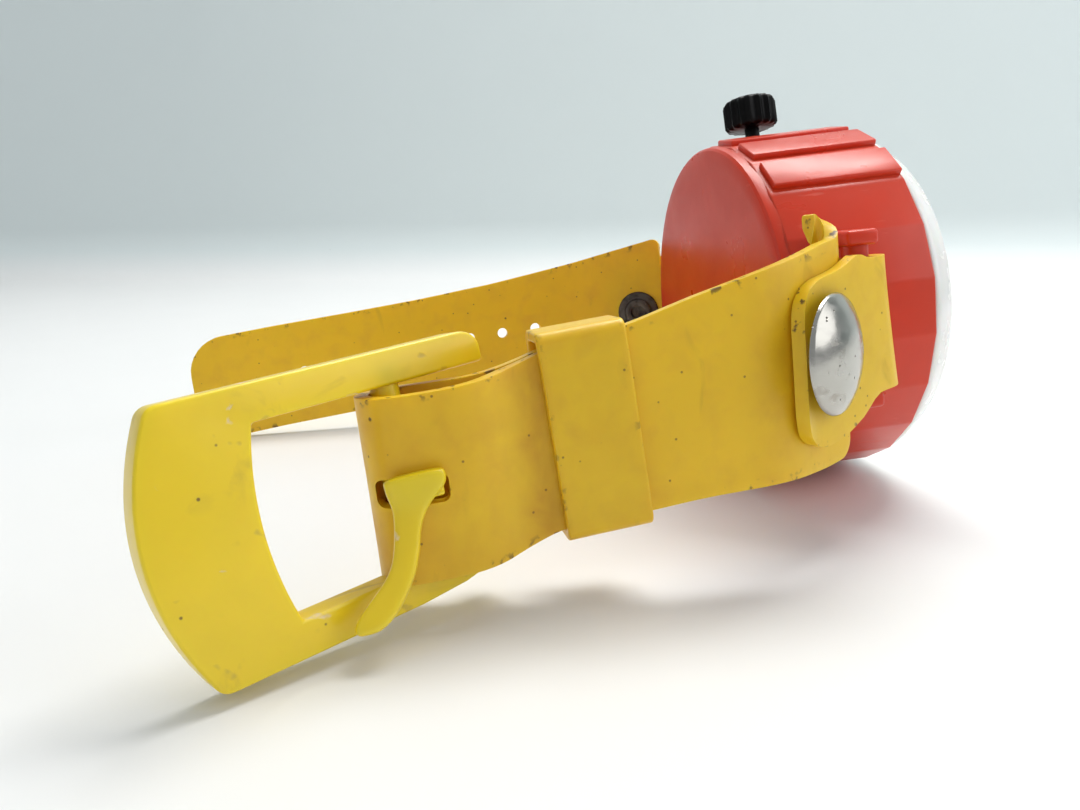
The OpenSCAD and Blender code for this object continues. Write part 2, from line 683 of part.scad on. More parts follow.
// Turns a piece drawn on the strap's outer face at the rivet, with +Z outwards
module at_rivet(at, depth, shares, splay, lean) {
    d = at * cos(splay) - wrap_r * sin(splay);
    translate([0, sag(d, depth, shares), 0]) at_splay(splay) translate([-wrap_r - strap_t / 2, 0, -at])
        rotate([0, -90, 0]) rotate([0, lean, 0]) children();
}

module rivet_bore() {
    translate([0, 0, -rivet_run]) cylinder(r = post_r + run_fit, h = 2 * rivet_run);
}

module strap_end(depth, shares, splay) {
    intersection() {
        band_solid(flap_route, splay);
        sideways(4 * case_r) flap_side(depth, shares, splay);
    }
}

module short_rivet() {
    at_rivet(short_rivet_at, short_sag, short_sag_shares, short_splay, short_lean) children();
}

module long_rivet() {
    at_rivet(long_rivet_at, long_sag, long_sag_shares, long_splay, 0) children();
}

module strap_short() lie() color(amber) difference() {
    union() {
        strap_end(short_sag, short_sag_shares, short_splay);
        intersection() {
            band_solid(short_full_route, short_splay);
            sideways(4 * case_r) strap_side(lug_z - fold_mid[1] + fold_r + strap_t, strap_w, short_sag,
                short_sag_shares, shoulder_round, strap_t);
        }
    }
    short_rivet() rivet_bore();
    translate([fold_mid[0] - 2 * fold_r, buckle_drop - slot_h / 2, fold_mid[1] - slot_front])
        cube([2 * fold_r, slot_h, slot_front + slot_back]);
}

module strap_long() lie() color(amber) mirror([1, 0, 0]) difference() {
    union() {
        strap_end(long_sag, long_sag_shares, long_splay);
        intersection() {
            band_solid(long_route, long_splay);
            sideways(4 * case_r) strap_side(lug_z - tail_end[1], tail_w, long_sag, long_sag_shares,
                shoulder_round, tail_round);
        }
    }
    long_rivet() rivet_bore();
    for (i = [0:hole_count - 1]) let (d = lug_z + first_hole + i * hole_pitch)
        translate([0, sag(d, long_sag, long_sag_shares), lug_z - d]) rotate([0, -90, 0])
        cylinder(r = hole_r, h = 4 * case_r);
}

// Domed cap with the hollow post that passes both layers
module rivet_cap(lift) {
    dome_r = (pow(cap_r, 2) + pow(cap_h, 2)) / (2 * cap_h);
    stack = 2 * strap_t + layer_gap;
    difference() {
        union() {
            translate([0, 0, lift]) intersection() {
                translate([0, 0, cap_h - dome_r]) sphere(r = dome_r, $fn = 96);
                cylinder(r = cap_r, h = cap_h);
            }
            translate([0, 0, -stack - strap_t]) cylinder(r = post_r, h = stack + 3 * strap_t / 2 + lift);
        }
        translate([0, 0, -stack - strap_t - over]) cylinder(r = post_r / 2, h = stack + over);
    }
}

// Ring-shaped socket on the inner side, clenched on the post
module rivet_socket(lift) {
    base = -2 * strap_t - layer_gap - lift;
    rotate_extrude() polygon([[post_r, base], [socket_r, base], [socket_r, base - strap_t / 3],
        [socket_r * 2 / 3, base - strap_t * 2 / 3], [post_r, base - strap_t * 2 / 3]]);
}

module rivet_cap_short() lie() color(nickel) short_rivet() rivet_cap(cap_r * sin(short_lean));

module rivet_socket_short() lie() color(nickel / 3) short_rivet() rivet_socket(socket_r * sin(short_lean));

module rivet_cap_long() lie() color(nickel) mirror([1, 0, 0]) long_rivet() rivet_cap(0);

module rivet_socket_long() lie() color(nickel / 3) mirror([1, 0, 0]) long_rivet() rivet_socket(0);

// Loose loop round the strap that tucks in the free end
module keeper() lie() color(amber) {
    slot_x = keeper_x - strap_t / 2 - seat_fit;
    outer = [keeper_slot + 2 * keeper_t, keeper_inner_h + 2 * keeper_t];
    translate([slot_x - keeper_t, sag(keeper_d, short_sag, short_sag_shares), lug_z - keeper_d])
        linear_extrude(keeper_len, center = true) difference() {
            translate([0, -outer[1] / 2]) rounded_box(outer, keeper_round);
            translate([keeper_t, -keeper_inner_h / 2]) rounded_box([keeper_slot, keeper_inner_h], keeper_round / 3);
        }
}

module rounded_box(size, r) {
    polygon(rounded([[[0, 0], r], [[size[0], 0], r], [size, r], [[0, size[1]], r]]));
}

// Turns a piece about the buckle's bar: drawn with the bar along Y and the plate towards -Z
module at_buckle_bar(angle) {
    translate([buckle_bar[0], buckle_drop, buckle_bar[1]]) rotate([0, buckle_open, 0])
        rotate([-buckle_tip, 0, -buckle_lean]) rotate([0, angle - buckle_open, 0]) children();
}

module buckle_frame() lie() color(lemon) at_buckle_bar(buckle_open) {
    half = buckle_w / 2;
    hole = buckle_window / 2;
    near_edge = buckle_len - plate_w;
    arm_end = [[hole, arm_tail - arm_round], [hole + arm_round / 2, arm_tail],
        [half - arm_round, arm_tail - arm_round / 2], [half, arm_tail / 2]];
    sideways(buckle_t) polygon(concat(arm_end,
        bowed([half, plate_round - buckle_len], [-half, plate_round - buckle_len], -plate_bow),
        [for (p = reversed(arm_end)) [-p[0], p[1]]], bowed([-hole, -near_edge], [hole, -near_edge], window_bow)));
    rotate([90, 0, 0]) cylinder(r = buckle_bar_r, h = (buckle_w + buckle_window) / 2, center = true);
}

// Tongue whose eye turns on the buckle's bar and whose shank hangs down outside the strap
module buckle_tongue() lie() color(lemon) at_buckle_bar(0) {
    root_x = -fold_r - strap_t / 2 - tongue_t / 2 - over;
    neck = tongue_w / 2;
    low = -tongue_drop;
    difference() {
        union() {
            rotate([90, 0, 0]) cylinder(r = eye_r, h = tongue_root, center = true);
            across(tongue_root) polygon([[0, -eye_r], [root_x, -eye_r * 3 / 4], [root_x, eye_r * 3 / 2],
                [-fold_r, eye_r * 3 / 2], [-eye_r / 2, eye_r], [0, eye_r]]);
        }
        rotate([90, 0, 0]) cylinder(r = buckle_bar_r + run_fit, h = buckle_w, center = true);
    }
    intersection() {
        translate([0, 0, -case_r / 2]) linear_extrude(case_r) polygon(band(walk([root_x, tongue_root / 2], -90,
            [[tongue_root, 0], [tongue_drop / 3, -20], [tongue_drop / 3, -6], [tongue_drop / 2, 0]]), tongue_t));
        sideways(case_r) polygon(rounded([[[tongue_root / 2, -eye_r * 3 / 4], 0], [[tongue_root / 2, eye_r * 3 / 2], 0],
            [[-tongue_root / 2, eye_r * 3 / 2], 0], [[-tongue_root, neck], neck / 2], [[low / 2, 0], neck],
            [[low * 3 / 4, -neck * 2 / 3], neck], [[low, -neck * 5 / 2], neck * 3 / 4],
            [[low * 7 / 8, -neck * 17 / 4], neck * 3 / 4], [[low * 3 / 5, -neck * 2], neck],
            [[low * 2 / 5, -neck * 3 / 2], neck], [[-tongue_root, -neck], neck / 2]]));
    }
}

case_cup();
bezel();
crystal();
dial();
movement_plate();
plate_screws();
stem_bush();
crown_knob();
crown_stem();
stem_clip();
stem_pinion();
centre_arbor();
contrate_wheel();
cannon_pinion();
minute_hand();
hand_cap();
reduction_gear();
hour_wheel();
hour_hand();
strap_short();
rivet_cap_short();
rivet_socket_short();
strap_long();
rivet_cap_long();
rivet_socket_long();
keeper();
buckle_frame();
buckle_tongue();
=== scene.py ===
"""Looks of the toy wristwatch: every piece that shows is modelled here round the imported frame.

Sizes are in metres. Shapes are drawn on the watch's own bench frame, with the case back on the
plane z = 0, the dial towards +Z and the strap halves hanging along -Z, and each finished piece
is then laid on its side with the frame.
"""

import json
import math

import bpy
from bpy.props import FloatProperty, FloatVectorProperty, IntProperty, PointerProperty
from mathutils import Matrix, Vector, noise


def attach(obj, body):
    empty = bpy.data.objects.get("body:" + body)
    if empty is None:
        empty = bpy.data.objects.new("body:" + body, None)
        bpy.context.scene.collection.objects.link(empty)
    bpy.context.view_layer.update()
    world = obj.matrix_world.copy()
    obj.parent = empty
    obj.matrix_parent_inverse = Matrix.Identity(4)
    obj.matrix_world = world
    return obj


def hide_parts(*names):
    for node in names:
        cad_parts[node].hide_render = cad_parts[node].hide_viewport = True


bl_info = {
    "name": "Toy Wristwatch",
    "version": (1, 0, 0),
    "blender": (4, 5, 0),
    "location": "View3D > Sidebar > Toy Watch",
    "description": "Builds the visible pieces of a toy wristwatch round its packed frame",
    "category": "Object",
}

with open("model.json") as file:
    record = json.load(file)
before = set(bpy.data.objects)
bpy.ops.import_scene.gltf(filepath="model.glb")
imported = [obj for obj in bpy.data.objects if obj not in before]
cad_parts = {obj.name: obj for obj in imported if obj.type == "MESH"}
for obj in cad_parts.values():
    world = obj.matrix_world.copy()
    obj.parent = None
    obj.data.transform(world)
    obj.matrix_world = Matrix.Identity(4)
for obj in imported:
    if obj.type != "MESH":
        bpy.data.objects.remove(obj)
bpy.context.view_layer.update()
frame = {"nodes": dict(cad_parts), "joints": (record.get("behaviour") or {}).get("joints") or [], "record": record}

MM = 0.001
UP = Vector((0, 0, 1))


# ---------------------------------------------------------------- sizes and colours


def length(name, description, default, lowest=0.0):
    return FloatProperty(name=name, description=description, default=default, min=lowest,
                         unit="LENGTH", subtype="DISTANCE", precision=5)


def angle(name, description, degrees):
    return FloatProperty(name=name, description=description, default=math.radians(degrees),
                         unit="ROTATION", subtype="ANGLE")


def colour(name, description, default):
    return FloatVectorProperty(name=name, description=description, default=default, size=3,
                               min=0.0, max=1.0, subtype="COLOR")


class WatchCaseSizes(bpy.types.PropertyGroup):
    """Sizes of the case, its lugs, the bezel and the knob"""

    corner_radius: length("Corner radius", "Radius of the case to the corners of its facets", 0.0255)
    facets: IntProperty(name="Facets", description="Flat facets round the side", default=22, min=6)
    depth: length("Depth", "Depth of the faceted side from the back", 0.021)
    draft: length("Draft", "Growth of the radius from back to front", 0.0005)
    back_wall: length("Back wall", "Thickness of the back", 0.002)
    cavity: length("Cavity radius", "Radius of the hollow inside", 0.0226)
    rim: length("Rim radius", "Radius of the round rim band at the back", 0.025)
    rim_height: length("Rim height", "Height of the round rim band", 0.0016)
    pad_height: length("Pad height", "Height of the raised pads beside the knob", 0.0008)
    soft_edge: length("Soft edge", "Rounding of the moulded edges", 0.00035)
    lug_x: length("Lug distance", "Distance of a lug bar from the middle", 0.029)
    lug_z: length("Lug height", "Height of the lug bars above the back", 0.0075)
    lug_gap: length("Lug gap", "Width between the posts of a lug", 0.0182)
    lug_post: length("Lug post", "Thickness of a lug post", 0.0019)
    lug_bar: length("Lug bar radius", "Radius of the lug bars", 0.0016)
    bezel_top: length("Bezel front radius", "Radius of the bezel's front edge", 0.0232)
    bezel_height: length("Bezel height", "Height of the bezel in front of the case", 0.0039)
    window: length("Bezel opening", "Radius of the opening in the bezel", 0.0204)
    crystal_rise: length("Crystal rise", "Rise of the domed crystal", 0.0018)
    knob: length("Knob radius", "Radius of the winding knob", 0.004)
    knob_height: length("Knob height", "Height of the winding knob", 0.0046)
    knob_gap: length("Knob gap", "Gap between the case and the knob", 0.0027)
    stem_z: length("Stem height", "Height of the stem above the back", 0.0104)
    dial_z: length("Dial height", "Height of the dial's face above the back", 0.02045)


class WatchStrapSizes(bpy.types.PropertyGroup):
    """Sizes of the strap halves, their rivets and the keeper"""

    thickness: length("Thickness", "Thickness of the strap", 0.0015)
    width: length("Width", "Width along the parallel stretch", 0.0196)
    tail_width: length("Tail width", "Width of the long half's tail", 0.0192)
    shoulder: length("Shoulder width", "Width beside the lugs", 0.0272)
    flap_width: length("Flap width", "Width of the flap round the lug bar", 0.0194)
    flap: length("Flap length", "Length of the flap past the lug bar", 0.0163)
    neck: length("Neck width", "Width of the neck between the lug posts", 0.0164)
    wrap: length("Wrap radius", "Radius of the strap's middle round the lug bar", 0.0026)
    short_splay: angle("Buckle half splay", "Angle at which the buckle half leaves its lug", 27)
    long_splay: angle("Long half splay", "Angle at which the long half leaves its lug", 25)
    short_sag: length("Buckle half sag", "Sideways sag of the buckle half as it lies", 0.0096)
    long_sag: length("Long half sag", "Sideways sag of the long half as it lies", 0.007)
    holes: IntProperty(name="Holes", description="Adjustment holes in the long half", default=8, min=0)
    hole: length("Hole radius", "Radius of an adjustment hole", 0.001)
    first_hole: length("First hole", "Distance of the first hole below the lug", 0.021)
    pitch: length("Hole pitch", "Distance between adjustment holes", 0.0065)
    cap: length("Cap radius", "Radius of the domed rivet cap", 0.007)
    cap_height: length("Cap height", "Height of the domed rivet cap", 0.002)
    shoulder_start: length("Shoulder start", "Distance of the shoulders below the lug bar", 0.0043)
    keeper_tilt: angle("Keeper tilt", "Tilt with the strap's sag", 3.2)
    ear_radius: length("Ear radius", "Radius at which the shoulder's upper corner is rolled in", 0.0013)
    flare: length("Flare", "Rise of the flap's fold at its lower side", 0.0022)
    keeper: length("Keeper length", "Width of the keeper along the strap", 0.0097)
    keeper_wall: length("Keeper wall", "Thickness of the keeper's wall", 0.00115)
    keeper_slot: length("Keeper slot", "Depth of the slot through the keeper", 0.0049)
    keeper_at: length("Keeper place", "Distance of the keeper below the lug", 0.0295)


class WatchBuckleSizes(bpy.types.PropertyGroup):
    """Sizes of the buckle frame and its tongue"""

    width: length("Width", "Outer width of the frame", 0.0268)
    window: length("Window", "Width of the window", 0.0194)
    thickness: length("Thickness", "Thickness of the frame", 0.0036)
    reach: length("Reach", "Distance from the bar to the corners of the plate", 0.0254)
    plate: length("Plate", "Width of the plate at its corners", 0.0106)
    plate_bow: length("Plate bow", "Outward bow of the plate's outer edge", 0.0031)
    window_bow: length("Window bow", "Outward bow of the window's far edge", 0.0014)
    arm_tail: length("Arm tails", "Length of the arms behind the bar", 0.0117)
    arm_droop: length("Arm droop", "Inward bend of the lower arm's end", 0.0011)
    shift: length("Shift", "Shift of the frame across the strap from the bar's middle", 0.00075)
    bar: length("Bar radius", "Radius of the bar", 0.0015)
    opening: angle("Opening", "Angle at which the buckle stands open", 29)
    lean: angle("Lean", "Sideways lean of the buckle in its fold", 5)
    tip: angle("Tip", "Tip of the buckle towards its plate", 3)
    tongue: length("Tongue thickness", "Thickness of the tongue", 0.0017)
    tongue_root: length("Tongue root", "Height of the tongue's root across the strap", 0.0023)


class WatchColours(bpy.types.PropertyGroup):
    """Colours of the finishes"""

    case_red: colour("Case red", "Glossy moulded case", (0.66, 0.040, 0.010))
    bezel_white: colour("Bezel white", "Glossy moulded bezel", (0.88, 0.87, 0.84))
    knob_black: colour("Knob black", "Glossy knob", (0.0008, 0.0008, 0.0008))
    strap_amber: colour("Strap amber", "Soft vinyl of the strap", (0.84, 0.54, 0.014))
    buckle_lemon: colour("Buckle lemon", "Moulded buckle and tongue", (0.86, 0.63, 0.010))
    grime: colour("Grime", "Dirt in creases and on edges", (0.16, 0.075, 0.02))
    nickel: colour("Nickel", "Plated rivet caps", (0.44, 0.425, 0.385))
    dial: colour("Dial", "Printed dial", (0.86, 0.84, 0.78))
    ink: colour("Ink", "Print on the dial", (0.02, 0.02, 0.025))
    floor: colour("Floor", "Table that the watch lies on", (0.80, 0.805, 0.80))
    backdrop: colour("Backdrop", "Wall behind the table", (0.70, 0.77, 0.77))


GROUPS = {
    "watch_case": WatchCaseSizes,
    "watch_strap": WatchStrapSizes,
    "watch_buckle": WatchBuckleSizes,
    "watch_colours": WatchColours,
}


def case_sizes():
    return bpy.context.scene.watch_case


def strap_sizes():
    return bpy.context.scene.watch_strap


def buckle_sizes():
    return bpy.context.scene.watch_buckle


def colours():
    return bpy.context.scene.watch_colours


# ---------------------------------------------------------------- places


def joint(name):
    return next(j for j in frame["joints"] if j["name"] == name)


def bench_frame():
    """Matrix from the watch's own bench frame to the row frame, from the case back's mount."""
    mount = frame["record"]["mounts"][0]
    front = -Vector(mount["axis"])
    across = Vector(joint("short_swing")["axis"])
    turn = Matrix((across.cross(front), across, front)).transposed().to_4x4()
    return Matrix.Translation(mount["pos_m"]) @ turn


BENCH = bench_frame()


def knob_way():
    """Matrix of a piece that is drawn along +Z and points out to the knob."""
    turn = BENCH.to_3x3().inverted() @ Vector(joint("crown_turn")["axis"])
    side = turn.to_track_quat("Z", "X").to_matrix().to_4x4()
    return Matrix.Translation((0, 0, case_sizes().stem_z)) @ side


def buckle_bar():
    """Bench place of the middle of the buckle's bar."""
    return BENCH.inverted() @ Vector(joint("buckle_swing")["pos_m"])


def bar_place(opened):
    """Matrix of a piece drawn on the buckle's bar, opened by an angle from the strap's line."""
    s = buckle_sizes()
    lean = Matrix.Rotation(-s.lean, 4, "Z") @ Matrix.Rotation(-s.tip, 4, "X")
    return (Matrix.Translation(buckle_bar()) @ Matrix.Rotation(s.opening, 4, "Y") @ lean
            @ Matrix.Rotation(opened - s.opening, 4, "Y"))


def lookup(x, table):
    """Value of a table of places and shares, between its rows."""
    if x <= table[0][0]:
        return table[0][1]
    for (x0, y0), (x1, y1) in zip(table, table[1:]):
        if x <= x1:
            return y0 + (y1 - y0) * (x - x0) / (x1 - x0)
    return table[-1][1]


def softened(x, table, reach=2.0):
    """The table's value at a distance in metres, evened out over a reach in millimetres each way."""
    steps = [reach * k / 4 for k in range(-4, 5)]
    return sum(lookup(x / MM + step, table) for step in steps) / len(steps)


def eased(share):
    """A share that leaves 0 and reaches 1 gently."""
    return share * share * (3 - 2 * share)


def drawn_in(radius, distance):
    """How far a corner rounded by a radius pulls an edge in, at a distance from its end."""
    if distance >= radius:
        return 0.0
    return radius - math.sqrt(max(0, radius ** 2 - (radius - distance) ** 2))


def peak(x, middle, reach):
    """1 at the middle, falling evenly to 0 at a reach from it."""
    return max(0.0, 1 - abs(x - middle) / reach)


# Shares of a half's sag, and of its widening to the shoulders, by millimetres below the lug bar
SHORT_SAG_SHARES = [(-2, 0.05), (1.5, 0.06), (2.4, 0.09), (4, 0.22), (7.5, 0.33), (12, 0.385), (17, 0.435),
                    (25, 0.54), (32, 0.665), (41, 0.75), (45, 0.885), (49, 0.965), (55, 1)]
LONG_SAG_SHARES = [(0, 0.03), (2.4, 0.06), (5, 0.12), (12, 0.2), (20, 0.29), (32, 0.35), (41, 0.4),
                   (51, 0.53), (65, 0.66), (79, 0.77), (94, 0.93), (110, 1.1)]
TAPER_SHARES = [(3, 1), (29, 0.25), (38, 0.03), (44, 0)]


class StrapRoute:
    """A line in plan that is made of legs, each with a length in millimetres and a turn in degrees."""

    def __init__(self, start, heading, legs):
        self.legs = []
        place, way, run = Vector(start), math.radians(heading), 0.0
        for size, turn in legs:
            size, turn = size * MM, math.radians(turn)
            self.legs.append((run, size, turn, place.copy(), way))
            place = self.along(place, way, size, turn, 1.0)
            way += turn
            run += size
        self.length = run

    @staticmethod
    def along(place, way, size, turn, share):
        """Place at a share of a straight or evenly bent leg."""
        if abs(turn) < 1e-6:
            return place + size * share * Vector((math.cos(way), math.sin(way)))
        radius = size / turn
        after = way + turn * share
        return place + radius * Vector((math.sin(after) - math.sin(way), math.cos(way) - math.cos(after)))

    def at(self, distance):
        """Place and heading at a distance along the route."""
        for run, size, turn, place, way in self.legs:
            if distance <= run + size + 1e-9:
                share = max(0.0, (distance - run) / size)
                return self.along(place, way, size, turn, share), way + turn * share
        run, size, turn, place, way = self.legs[-1]
        return self.along(place, way, size, turn, 1.0), way + turn


# Legs of the strap's middle line, millimetres along it and degrees turned: the flap and its turn round the
# lug bar, in to meet the flap, and on down each half. The fold's radius is that round the buckle's bar.
FOLD_RADIUS = 3.55
FLAP_LEGS = [(16.3, 0), (math.pi * 2.6, 180)]
MERGE_LEGS = [(0.5, 0), (3.28999, 71.5078), (3.28999, -71.5078)]
SHORT_LEGS = [(8.5, 0), (7, -27), (23.8, 0), (5.5, 36), (5.5, -36), (4.4, 0),
              (math.pi * FOLD_RADIUS, -180), (5, -20), (5, 20), (9, 0)]
LONG_LEGS = [(8.5, 0), (32, -23), (51.5, -6)]


def bench_point(plan, across, splay):
    """Bench place of a point of a strap: plan is down the strap and outwards, for the half at -X."""
    s = case_sizes()
    down, out = plan
    return Vector((
        -s.lug_x - down * math.sin(splay) - out * math.cos(splay),
        across,
        s.lug_z - down * math.cos(splay) + out * math.sin(splay),
    ))


# ---------------------------------------------------------------- modelling steps


def deselect():
    bpy.ops.object.select_all(action="DESELECT")


def only(obj):
    deselect()
    obj.select_set(True)
    bpy.context.view_layer.objects.active = obj


def named(name):
    obj = bpy.context.object
    obj.name = obj.data.name = name
    return obj


def edit(obj, how="VERT", pick="SELECT"):
    only(obj)
    bpy.ops.object.mode_set(mode="EDIT")
    bpy.ops.mesh.select_mode(type=how)
    bpy.ops.mesh.select_all(action=pick)


def done():
    bpy.ops.object.mode_set(mode="OBJECT")


def choose(obj, how, test):
    """Starts editing a mesh with only those of its edges or faces selected that pass a test."""
    edit(obj, how, "DESELECT")
    done()
    for element in obj.data.edges if how == "EDGE" else obj.data.polygons:
        element.select = test(element)
    bpy.ops.object.mode_set(mode="EDIT")


def tidy(obj, reach=1e-6):
    """Merges doubles and turns the faces outwards."""
    edit(obj)
    bpy.ops.mesh.remove_doubles(threshold=reach)
    bpy.ops.mesh.normals_make_consistent(inside=False)
    done()
    return obj


def set_points(obj, points):
    for vertex, point in zip(obj.data.vertices, points):
        vertex.co = point


def turned(name, profile, sides=96):
    """A turned piece about Z, from its profile of radii and heights. A profile that starts and
    ends on the axis makes a solid piece, any other one a ring."""
    deselect()
    bpy.ops.mesh.primitive_circle_add(vertices=len(profile), radius=1)
    obj = named(name)
    set_points(obj, [Vector((r, 0, z)) for r, z in profile])
    if profile[0][0] == 0 and profile[-1][0] == 0:
        ends = {0, len(profile) - 1}
        choose(obj, "EDGE", lambda edge: set(edge.vertices) == ends)
        bpy.ops.mesh.delete(type="EDGE")
        done()
    edit(obj)
    bpy.ops.mesh.spin(steps=sides, angle=2 * math.pi, center=(0, 0, 0), axis=(0, 0, 1))
    done()
    return tidy(obj)


def plate(name, outline, thickness):
    """A flat plate of even thickness in the XY plane, centred on it, from its outline."""
    deselect()
    bpy.ops.mesh.primitive_circle_add(vertices=len(outline), radius=1, fill_type="NGON")
    obj = named(name)
    set_points(obj, [Vector((x, y, -thickness / 2)) for x, y in outline])
    edit(obj)
    bpy.ops.mesh.extrude_region_move(TRANSFORM_OT_translate={"value": (0, 0, thickness)})
    done()
    return tidy(obj)


def sheet(name, rows):
    """An open sheet through rows of points."""
    deselect()
    bpy.ops.mesh.primitive_grid_add(x_subdivisions=len(rows[0]) - 1, y_subdivisions=len(rows) - 1, size=1)
    obj = named(name)
    set_points(obj, [point for row in rows for point in row])
    return obj


def rolled(name, rings):
    """A closed body through rings of points, with both ends capped."""
    obj = sheet(name, [ring + ring[:1] for ring in rings])
    tidy(obj)
    edit(obj, pick="DESELECT")
    bpy.ops.mesh.select_non_manifold()
    bpy.ops.mesh.edge_face_add()
    bpy.ops.mesh.fill_holes(sides=0)
    done()
    return tidy(obj)


def block(name, size, centre):
    deselect()
    bpy.ops.mesh.primitive_cube_add(size=1, location=centre, scale=size)
    obj = named(name)
    bpy.ops.object.transform_apply(location=True, rotation=True, scale=True)
    return obj


def rod(name, radius, start, stop, sides=48):
    """A round bar between two points."""
    start, stop = Vector(start), Vector(stop)
    deselect()
    bpy.ops.mesh.primitive_cylinder_add(vertices=sides, radius=radius, depth=(stop - start).length)
    obj = named(name)
    turn = (stop - start).to_track_quat("Z", "Y").to_matrix().to_4x4()
    return place(obj, Matrix.Translation((start + stop) / 2) @ turn)


def place(obj, matrix):
    """Applies a place to the mesh, so the object stays at the origin."""
    only(obj)
    obj.matrix_world = matrix
    bpy.ops.object.transform_apply(location=True, rotation=True, scale=True)
    return obj


def apply_modifier(obj, kind, **settings):
    only(obj)
    modifier = obj.modifiers.new(kind.title(), kind)
    for key, value in settings.items():
        setattr(modifier, key, value)
    bpy.ops.object.modifier_apply(modifier=modifier.name)
    return obj


def soften(obj, width, limit=30, segments=3):
    """Rounds the edges that turn by more than a limit in degrees."""
    return apply_modifier(obj, "BEVEL", width=width, segments=segments, limit_method="ANGLE",
                          angle_limit=math.radians(limit), harden_normals=False)


def cut(obj, *tools):
    """Cuts tools out of a piece and deletes them."""
    for tool in tools:
        apply_modifier(obj, "BOOLEAN", operation="DIFFERENCE", object=tool, solver="EXACT")
        bpy.data.objects.remove(tool)
    return obj


def joined(name, *parts):
    only(parts[0])
    for part in parts:
        part.select_set(True)
    if len(parts) > 1:
        bpy.ops.object.join()
    return named(name)


def store(obj, **layers):
    """Stores values for the mesh's points, which the vinyl's finish reads."""
    for layer, values in layers.items():
        obj.data.attributes.new(layer, "FLOAT", "POINT").data.foreach_set("value", values)


def finished(obj, body, slot, *nodes, matrix=None, smooth=32, finish=None):
    """Lays a piece down with the watch, smooths it, gives it its finish and lets it ride in place of nodes."""
    place(obj, BENCH @ (matrix or Matrix()))
    bpy.ops.object.shade_smooth_by_angle(angle=math.radians(smooth))
    obj.data.materials.clear()
    obj.data.materials.append(finishes()[finish or slot])
    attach(obj, body)
    if nodes:
        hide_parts(*nodes)
    return obj


# ---------------------------------------------------------------- finishes


class Finish:
    """A material under construction: a shader whose colour, roughness and bump are built up in layers."""

    def __init__(self, name, base, roughness, **shader):
        self.material = bpy.data.materials.new(name)
        self.material.use_nodes = True
        self.tree = self.material.node_tree
        self.shader = next(n for n in self.tree.nodes if n.type == "BSDF_PRINCIPLED")
        for socket, value in shader.items():
            self.shader.inputs[socket.replace("_", " ")].default_value = value
        self.shader.inputs["Base Color"].default_value = (*base, 1)
        self.shader.inputs["Roughness"].default_value = roughness
        self.colour = (*base, 1)
        self.roughness = roughness
        self.height = None
        self.coords = self.node("ShaderNodeTexCoord").outputs["Object"]

    def node(self, kind, **settings):
        made = self.tree.nodes.new(kind)
        for key, value in settings.items():
            setattr(made, key, value)
        return made

    def feed(self, socket, value):
        if isinstance(value, bpy.types.NodeSocket):
            self.tree.links.new(value, socket)
        else:
            socket.default_value = value

    def stretched(self, scale, turn=(0, 0, 0)):
        """Coordinates that are scaled and turned, for streaks."""
        mapping = self.node("ShaderNodeMapping")
        self.feed(mapping.inputs["Vector"], self.coords)
        mapping.inputs["Scale"].default_value = scale
        mapping.inputs["Rotation"].default_value = turn
        return mapping.outputs["Vector"]

    def speckle(self, per_metre, detail=3.0, low=0.4, high=0.6, distortion=0.0, where=None):
        """Noise cut to a soft mask between two levels."""
        texture = self.node("ShaderNodeTexNoise")
        self.feed(texture.inputs["Vector"], where or self.coords)
        texture.inputs["Scale"].default_value = per_metre
        texture.inputs["Detail"].default_value = detail
        texture.inputs["Distortion"].default_value = distortion
        return self.window(texture.outputs["Fac"], low, high)

    def dots(self, per_metre, size, where=None):
        """Small round spots at random places."""
        texture = self.node("ShaderNodeTexVoronoi")
        self.feed(texture.inputs["Vector"], where or self.coords)
        texture.inputs["Scale"].default_value = per_metre
        return self.window(texture.outputs["Distance"], size, size * 0.55)

    def window(self, value, low, high):
        """A value brought between 0 at a low level and 1 at a high one."""
        mapped = self.node("ShaderNodeMapRange")
        self.feed(mapped.inputs["Value"], value)
        mapped.inputs["From Min"].default_value = low
        mapped.inputs["From Max"].default_value = high
        return mapped.outputs["Result"]

    def attribute(self, name):
        return self.node("ShaderNodeAttribute", attribute_name=name).outputs["Fac"]

    def maths(self, operation, a, b):
        made = self.node("ShaderNodeMath", operation=operation)
        self.feed(made.inputs[0], a)
        self.feed(made.inputs[1], b)
        return made.outputs[0]

    def tint(self, mask, other, amount=1.0):
        """Lays another colour over the finish where the mask is."""
        mix = self.node("ShaderNodeMix", data_type="RGBA")
        self.feed(mix.inputs["Factor"], self.maths("MULTIPLY", mask, amount))
        self.feed(mix.inputs["A"], self.colour)
        self.feed(mix.inputs["B"], (*other, 1))
        self.colour = mix.outputs["Result"]
        return self

    def rough(self, mask, amount):
        """Adds to the roughness where the mask is."""
        self.roughness = self.maths("ADD", self.roughness, self.maths("MULTIPLY", mask, amount))
        return self

    def raise_by(self, mask, amount):
        """Raises or sinks the surface, in metres, where the mask is."""
        step = self.maths("MULTIPLY", mask, amount)
        self.height = step if self.height is None else self.maths("ADD", self.height, step)
        return self

    def made(self):
        self.feed(self.shader.inputs["Base Color"], self.colour)
        self.feed(self.shader.inputs["Roughness"], self.roughness)
        if self.height is not None:
            bump = self.node("ShaderNodeBump")
            bump.inputs["Strength"].default_value = 1.0
            bump.inputs["Distance"].default_value = 1.0
            self.feed(bump.inputs["Height"], self.height)
            self.feed(self.shader.inputs["Normal"], bump.outputs["Normal"])
        return self.material


def shade(base, amount):
    return tuple(min(1.0, channel * amount) for channel in base)


